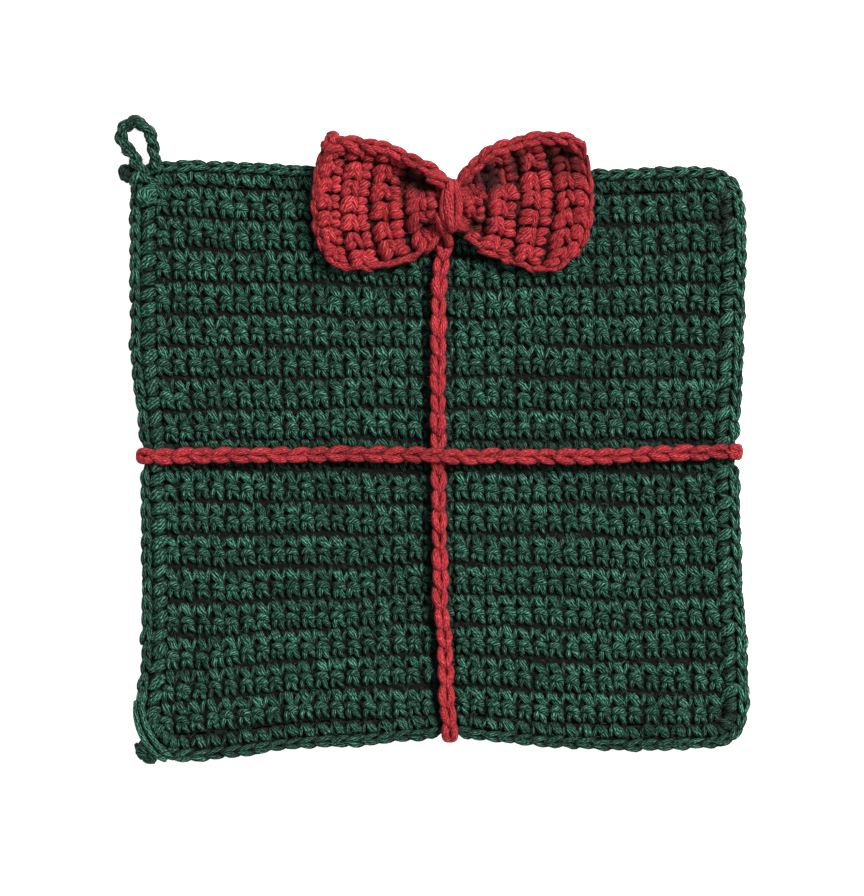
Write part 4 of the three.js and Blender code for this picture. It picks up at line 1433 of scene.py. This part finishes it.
BOW_INSIDE = (slice(3, -3, 2), slice(3, -3, 2))  # the part of the sides' grids that it takes
BOW_FRONT_DEPTH = 1.9  # how far under the front it lies
BOW_BACK_DEPTH = 1.2  # and how far inside the back
BOW_INSIDE_THICK = 0.4  # the least that it is thick


def bow_ground():
    """The inside of the bow's strip."""
    front = (BOW_FRONT.points - BOW_FRONT.normals * BOW_FRONT_DEPTH)[BOW_INSIDE]
    back = (BOW_BACK.points - BOW_BACK.normals * BOW_BACK_DEPTH)[BOW_INSIDE]
    deep = np.minimum(back[..., 2], front[..., 2] - BOW_INSIDE_THICK)
    back = stacked(back[..., 0], back[..., 1], deep)
    return grid_slab("bow_ground", front, back, RED_INSIDE_PAINTED_SHADE, "bow")


END_STEPS = 60  # points up an end of the bow, and along an edge of it
EDGE_LINE_STEPS = 90
END_SPAN = (0.06, 0.96)  # the part of an end's height that a rim runs up


def bow_edge_line(share, start, end, inset, depth):
    """The line of an edge of the bow, at a share of its height, or up one of its ends."""
    if share is None:
        along = np.full(END_STEPS, start - math.copysign(inset, start))
        up = np.linspace(*END_SPAN, END_STEPS)
    else:
        along = np.linspace(start, end, EDGE_LINE_STEPS)
        up = np.full(EDGE_LINE_STEPS, abs(share - inset / BOW_TALL))
    front, out = BOW_FRONT.at(along, up)
    back, _ = BOW_BACK.at(along, up)
    if share != 1:
        back = np.maximum(back, front - BOW_THICK * out)
    middle = front + (back - front) * depth
    # Nearer the back, a chain's width stands upright. In front, it lies across the edge.
    if depth > 0.5:
        return CordLine(middle, (0, 0, 1))
    travel = unit(np.gradient(middle, axis=0))
    return CordLine(middle, np.cross(travel, (0, 0, 1) if share == 1 else out))


# The long loops along the bow's lower edges.
HEM = (
    Strand((
        (-6.2, 0.9, -1.3, 1.4, 1.4),
        (-3.2, 0.5, 0.1, 2.1, 2.0),
        (0.0, 0.0, 0.5, 2.3, 2.2),
        (3.2, -0.5, 0.1, 2.1, 2.0),
        (6.2, -0.9, -1.3, 1.4, 1.4),
    ), sides=6, rings=9),
    Strand((
        (-1.6, -0.9, -1.3, 1.3, 1.3),
        (0.6, -0.7, -0.3, 1.8, 1.7),
        (3.2, 0.6, 0.1, 1.9, 1.8),
        (5.4, 0.9, -1.2, 1.3, 1.3),
    ), sides=6, rings=7),
)
# The slender loops up the bow's left end.
SIDE_LOOP = (
    Strand((
        (-4.6, -0.5, -1.3, 1.3, 1.3),
        (-2.4, 0.1, 0.1, 1.8, 1.7),
        (0.0, 0.3, 0.4, 2.0, 1.9),
        (2.4, 0.1, 0.1, 1.8, 1.7),
        (4.6, -0.5, -1.3, 1.3, 1.3),
    ), sides=6, rings=9),
    Strand((
        (-3.0, -0.2, -0.9, 1.3, 1.3),
        (-0.6, -0.8, -0.2, 1.7, 1.6),
        (1.8, -1.0, -0.2, 1.7, 1.6),
        (3.8, -0.6, -1.2, 1.3, 1.3),
    ), sides=6, rings=7),
)
# The links of the left lobe's upper edge and of the right end: an arm that follows the edge and a
# fat one that slants inwards.
RIM_LINK = (
    Strand((
        (-3.8, 0.2, -0.8, 1.6, 1.5),
        (-2.0, -0.8, 0.2, 2.1, 2.0),
        (0.4, -1.5, 0.3, 2.3, 2.2),
        (2.8, -1.5, 0.0, 2.1, 2.0),
        (5.0, -0.9, -1.4, 1.5, 1.4),
    ), rings=9, twist=-0.04),
    Strand((
        (-3.0, -0.4, -0.6, 1.8, 1.6),
        (-1.2, 0.3, 0.6, 2.7, 2.4),
        (0.9, 1.1, 0.8, 3.1, 2.8),
        (2.8, 1.9, 0.3, 2.8, 2.5),
        (4.3, 2.6, -1.2, 1.8, 1.7),
    ), rings=9, twist=-0.04),
)
# What lies along the bow's edges: the stitch, the share of the bow's height, or None up an end,
# where it starts and ends, how far inside the edge and how deep from front to back it lies, its
# pitch and its size.
RIMS = (
    (RIM_LINK + CHAIN_BACK, 1, BOW_ENDS[0] + 1.2, -25.0, 2.4, -0.05, 5.2, 0.96),
    (CHAIN + CHAIN_BACK, 1, -26.5, -2.4, 2.0, -0.05, 5.4, 0.86),
    (CHAIN + CHAIN_BACK, 1, 1.8, BOW_ENDS[1] - 1.2, 2.2, -0.05, 5.4, 0.88),
    (HEM, 0, BOW_ENDS[0] + 1.5, -4.0, 1.2, 0.4, 7.6, 1.0),
    (HEM, 0, 5.0, BOW_ENDS[1] - 3.0, 1.4, 0.4, 7.6, 1.0),
    (SIDE_LOOP, None, BOW_ENDS[0], None, 0.9, 0.4, 5.4, 0.9),
    (scaled(RIM_LINK, across=-1.0), None, BOW_ENDS[1], None, 2.3, 0.3, 5.4, 0.84),
    (CHAIN, 1, BOW_ENDS[0] + 3, -4.0, 3.0, 0.55, 5.4, 0.85),
    (CHAIN, 1, 4.0, BOW_ENDS[1] - 3, 3.0, 0.55, 5.4, 0.85),
    (CHAIN, 1, BOW_ENDS[0] + 12, -4.0, 3.0, 0.95, 5.4, 0.85),
    (CHAIN, 1, 4.0, BOW_ENDS[1] - 12, 3.0, 0.95, 5.4, 0.85),
)
# Where the top edges run over the binding.
RIM_ENDS = (
    ((-4.2, 93.0, 15.4), (-1.4, 91.8, 16.2), (1.2, 91.0, 16.2), (3.8, 90.1, 15.4), (5.2, 87.8, 15.8)),
    ((-3.6, 91.0, 15.0), (-1.0, 89.9, 15.8), (1.2, 88.8, 15.8), (3.0, 87.0, 15.6), (4.0, 85.2, 16.0)),
    ((10.2, 93.8, 15.4), (8.6, 92.0, 15.8), (7.2, 90.3, 15.0), (6.0, 88.0, 15.0)),
)
RIM_END_WIDTH = 2.3
RIM_END_SHADE = 0.3
RIM_LOOSE = 0.09
# Two knots at the bow's upper left corner: each one's place, size and turn.
BOW_KNOTS = (((-34.7, 104.9, 12.4), 1.0, -0.9), ((-36.4, 102.2, 11.8), 1.0, 0.5))


def bow_pieces():
    """The bow's rows, in front and behind, and its rims."""
    pieces = []
    for side, over, first in (("face", over_bow, 0), ("back", over_bow_back, STITCH)):
        skein = Skein(BOW_DARK)
        lay_on_bow(skein, BOW_V, over, first)
        lay_on_bow(skein, BOW_BUD, over, -first)
        pieces.append(skein.made(f"bow_{side}_rows", RED, "red_yarn", "bow"))
    skein = Skein(CORD_DARK)
    for stitch, share, start, end, inset, depth, pitch, size in RIMS:
        line = bow_edge_line(share, start, end, inset, depth)
        skein.stitches(stitch, line.places(pitch, 0, 0), line.over, RIM_LOOSE, size)
    for knot in BOW_KNOTS:
        skein.knot(*knot)
    for route in RIM_ENDS:
        skein.route(route, RIM_END_WIDTH, RIM_END_SHADE)
    pieces.append(skein.made("bow_rim", RED, "red_yarn", "bow"))
    return pieces


# The binding, three turns of yarn that lie closer together at its ends. Each has its place
# across, its slant, its width, how far it stands out, and how far its middle bulges aside.
WRAPS = ((-2.5, 0.5, 2.3, 0.0, -0.5), (-0.4, -0.5, 3.8, 1.0, -0.5), (2.0, 0.4, 2.9, 0.6, 0.4))
WRAP_NARROWED = 0.35  # how much narrower they are at the binding's ends
WRAP_CLOSER = 0.45  # and how much closer together
WRAP_THICK = 2.4
WRAP_SHADE = 0.5
WRAP_STEPS = 6  # along each side of the binding, and round each corner
BINDING_HIGH = 6.8
BINDING_THICK = 4.65
BINDING_ROUND = 3.5  # the radius of its corners, seen from the side
BINDING_MIDDLE = 12.35
BINDING_DROP = 0.1  # how far its middle lies below the bow's
# The strip's yarn where it passes through the binding: how far up each strand lies, and the line
# that they follow, along the bow and in height.
CORES = (-5.6, -2.8, 0.0, 2.8, 5.6)
CORE_LINE = ((-4.4, 11.4), (-2.4, 12.2), (0.0, 12.4), (2.4, 12.2), (4.4, 11.4))
CORE_SPREAD = 20  # the distance over which the strands spread to twice as far apart
CORE_WIDTH = 4.2
CORE_SHADE = 0.4


def binding_piece():
    """The turns of yarn round the bow's middle, and the strip inside them."""
    skein = Skein(WRAP_DARK)
    middle = np.array((BOW_X, BOW_Y - BINDING_DROP, BINDING_MIDDLE))
    radii = (BINDING_ROUND,) * 4
    for across, slant, wide, out, bulge in WRAPS:
        half = (BINDING_HIGH + out, BINDING_THICK + out)
        ring = np.array([rounded_box(*s, *half, radii) for s in steps_around(WRAP_STEPS, WRAP_STEPS)])
        ring = np.roll(ring, -WRAP_STEPS, axis=0)
        ring = np.vstack([ring, ring[:2]])
        end = np.clip(np.abs(ring[:, 0]) / BINDING_HIGH, 0, 1) ** 2
        x = across * (1 - WRAP_CLOSER * end) + bulge * (1 - end) + slant * np.linspace(-1, 1, len(ring))
        line = middle + stacked(x, ring[:, 0], ring[:, 1])
        away = unit((line - middle) * (0, 1, 1))
        widths = wide * (1 - WRAP_NARROWED * end)
        strand_rows = [(i, 0, 0, width, WRAP_THICK) for i, width in enumerate(widths)]
        strand = Strand(strand_rows, sides=10, rings=60, twist=-0.03)

        def over(points, line=line, away=away):
            places = np.arange(len(line))
            at = points[..., 0]
            return read(places, line, at) + read(places, away, at) * points[..., 2:]

        drawn = strand.rows[None]
        skein.lay(strand, drawn[..., :3], drawn[..., 3:], over, np.array([WRAP_SHADE]))
    for y in CORES:
        core = [(BOW_X + x, BOW_Y + y * (1 + abs(x) / CORE_SPREAD), z) for x, z in CORE_LINE]
        skein.route(core, CORE_WIDTH, CORE_SHADE)
    return skein.made("binding_wraps", RED, "red_yarn", "bow_binding")


# The ends of yarn are worked into two small dark knots each. Each knot has its place, its size
# and its turn, and another one lies turned under it.
CORNER_KNOTS = (((-103.5, 94.0, 2.6), 1.05, 0.4), ((-101.0, 92.7, 2.8), 1.1, 2.2))
CORNER_BLOB = ((-100.8, 90.2, 3.4), (-100.1, 91.4, 5.4), (-98.9, 93.4, 5.6), (-98.2, 94.8, 4.0))
CORNER_BLOB_WIDTH = 3.1
CORNER_BLOB_SHADE = 0.2
FOOT_KNOTS = (((-97.4, -97.4, 2.6), 1.1, 2.4), ((-95.4, -99.4, 2.4), 1.0, 1.7))
KNOT_SHADE = -2.0
UNDER_KNOT = np.array((0, 0, -1.4))
UNDER_TURN = 0.9


def yarn_end(name, knots, node, blobs=()):
    """A cut end of yarn, worked into knots, with any strands that lie over them."""
    skein = Skein()
    for place, size, turn in knots:
        skein.knot(place, size, turn, KNOT_SHADE)
        skein.knot(place + UNDER_KNOT, size, turn + UNDER_TURN, KNOT_SHADE)
    for blob in blobs:
        skein.route(blob, CORNER_BLOB_WIDTH, CORNER_BLOB_SHADE)
    return skein.made(name, GREEN, "green_yarn", node)


# Longer fibres that lie loose on the square: each one's place and direction.
STRAYS = (
    (-88.0, -75.6, 1.9), (-20.0, -78.0, 1.7), (-17.5, -90.0, 2.4), (60.0, -68.5, 0.2),
    (92.0, -94.4, 0.1), (-22.0, 20.0, 1.5), (30.0, 45.0, 0.8), (-60.0, 55.0, 2.8),
    (70.0, 20.0, 1.2), (-75.0, -20.0, 0.4),
)
STRAY_HALF = 1.7  # half their length
STRAY_BEND = 0.5
STRAY_WIDTH = 0.22
# Painted highlight: the long stray fibres are brighter still.
STRAY_SHADE = 1.6
STRAY_HEIGHT = FACE + 0.5


def stray_fibre(skein, x, y, turn):
    steps = np.linspace(-1, 1, 5)[:, None]
    along = np.array((math.cos(turn), math.sin(turn)))
    aside = np.array((-along[1], along[0]))
    spots = np.array((x, y)) + steps * along * STRAY_HALF + steps**2 * aside * STRAY_BEND
    points = [(*spot, STRAY_HEIGHT) for spot in spots]
    skein.route(points, STRAY_WIDTH, STRAY_SHADE, sides=4, rings=9)


def fibre_pieces():
    """Loose fibres on the green and the red yarn. Each lot has its number, its lowest and highest
    place on the drawing, what it lies over, and its heights."""
    half = np.array((HALF_WIDE - EDGING, HALF_HIGH - EDGING))
    green = Skein()
    green.fuzz(3600, -half, half, over_face, (-0.6, 0.7))
    green.fuzz(900, (0, 0), (EDGE.length, 7.5), EDGE.over_face, (-0.8, 0.6))
    green.fuzz(90, (0, -2), (LOOP.length, 2), LOOP.over, (0.3, 1.8))
    for stray in STRAYS:
        stray_fibre(green, *stray)
    red = Skein()
    red.fuzz(500, (-21, -9 * PAIR), (21, 0), over_bow, (-0.5, 1.2))
    for line in (ACROSS, DOWN):
        red.fuzz(170, (0, -2.8), (line.length, 2.8), line.over, (0.2, 2.0))
    green.made("green_fibres", LIT_GREEN_FIBRE, "green_yarn", "panel")
    red.made("red_fibres", LIT_RED_FIBRE, "red_yarn", "bow")


ACROSS = ribbon_across()
DOWN = ribbon_down()
LOOP = loop_line()

panel_rows = panel_pieces()
edging = edging_pieces()
ribbon_piece("ribbon_across_chain", ACROSS, "ribbon_across", 0.0, (0, 1))
ribbon_piece("ribbon_down_chain", DOWN, "ribbon_down", 0.25, (2,), CLIMB)
loop_piece()
bow = bow_pieces()
binding_piece()
yarn_end("corner_end", CORNER_KNOTS, "yarn_end_corner", [CORNER_BLOB])
yarn_end("foot_end", FOOT_KNOTS, "yarn_end_foot")
panel = panel_ground()
edging.append(edging_ground())
bow_inside = bow_ground()
fibre_pieces()

# The setting: a pale floor, one large soft light from the upper right, and a pale sky.


def pale_floor():
    bpy.ops.object.select_all(action="DESELECT")
    bpy.ops.mesh.primitive_plane_add(size=6, location=(0, 0, -0.0002))
    floor = bpy.context.object
    floor.name = "floor"
    material = bpy.data.materials.new("pale_floor")
    material.use_nodes = True
    shader = material.node_tree.nodes["Principled BSDF"]
    shader.inputs["Base Color"].default_value = (0.9, 0.9, 0.9, 1)
    shader.inputs["Roughness"].default_value = 0.9
    shader.inputs["Specular IOR Level"].default_value = 0.0
    shader.inputs["Emission Color"].default_value = (1, 1, 1, 1)
    shader.inputs["Emission Strength"].default_value = 0.9
    floor.data.materials.append(material)


def soft_light():
    light = bpy.data.lights.new("soft_light", "SUN")
    light.energy = 4.3
    light.angle = math.radians(16)
    sun = bpy.data.objects.new("soft_light", light)
    towards = Vector((-0.66, -0.46, -0.95))
    sun.rotation_mode = "QUATERNION"
    sun.rotation_quaternion = towards.to_track_quat("-Z", "Y")
    bpy.context.scene.collection.objects.link(sun)
    world = bpy.data.worlds.new("pale_room")
    world.use_nodes = True
    sky = world.node_tree.nodes["Background"]
    sky.inputs["Color"].default_value = (0.95, 0.98, 1.0, 1)
    sky.inputs["Strength"].default_value = 0.38
    bpy.context.scene.world = world
    bpy.context.scene.view_settings.view_transform = "Standard"


PICTURE = (864, 896)  # the photograph's pixels
MM_PER_PIXEL = 0.33
PICTURE_MIDDLE = (-1.98, 2.64, 0.0)  # where its middle lies on the drawing
LENS = 200.0
SENSOR = 36.0


def camera_above():
    """Straight above the middle of the picture, at the photograph's size on the fabric."""
    tall = PICTURE[1] * MM_PER_PIXEL
    data = bpy.data.cameras.new("camera")
    data.lens = LENS
    data.sensor_width = SENSOR
    data.clip_end = 20
    camera = bpy.data.objects.new("camera", data)
    middle = np.array(PICTURE_MIDDLE) + ORIGIN
    height = FABRIC + tall * LENS / SENSOR
    camera.location = Vector((middle[0], middle[1], height)) * MM
    bpy.context.scene.collection.objects.link(camera)
    bpy.context.scene.camera = camera


pale_floor()
soft_light()
camera_above()
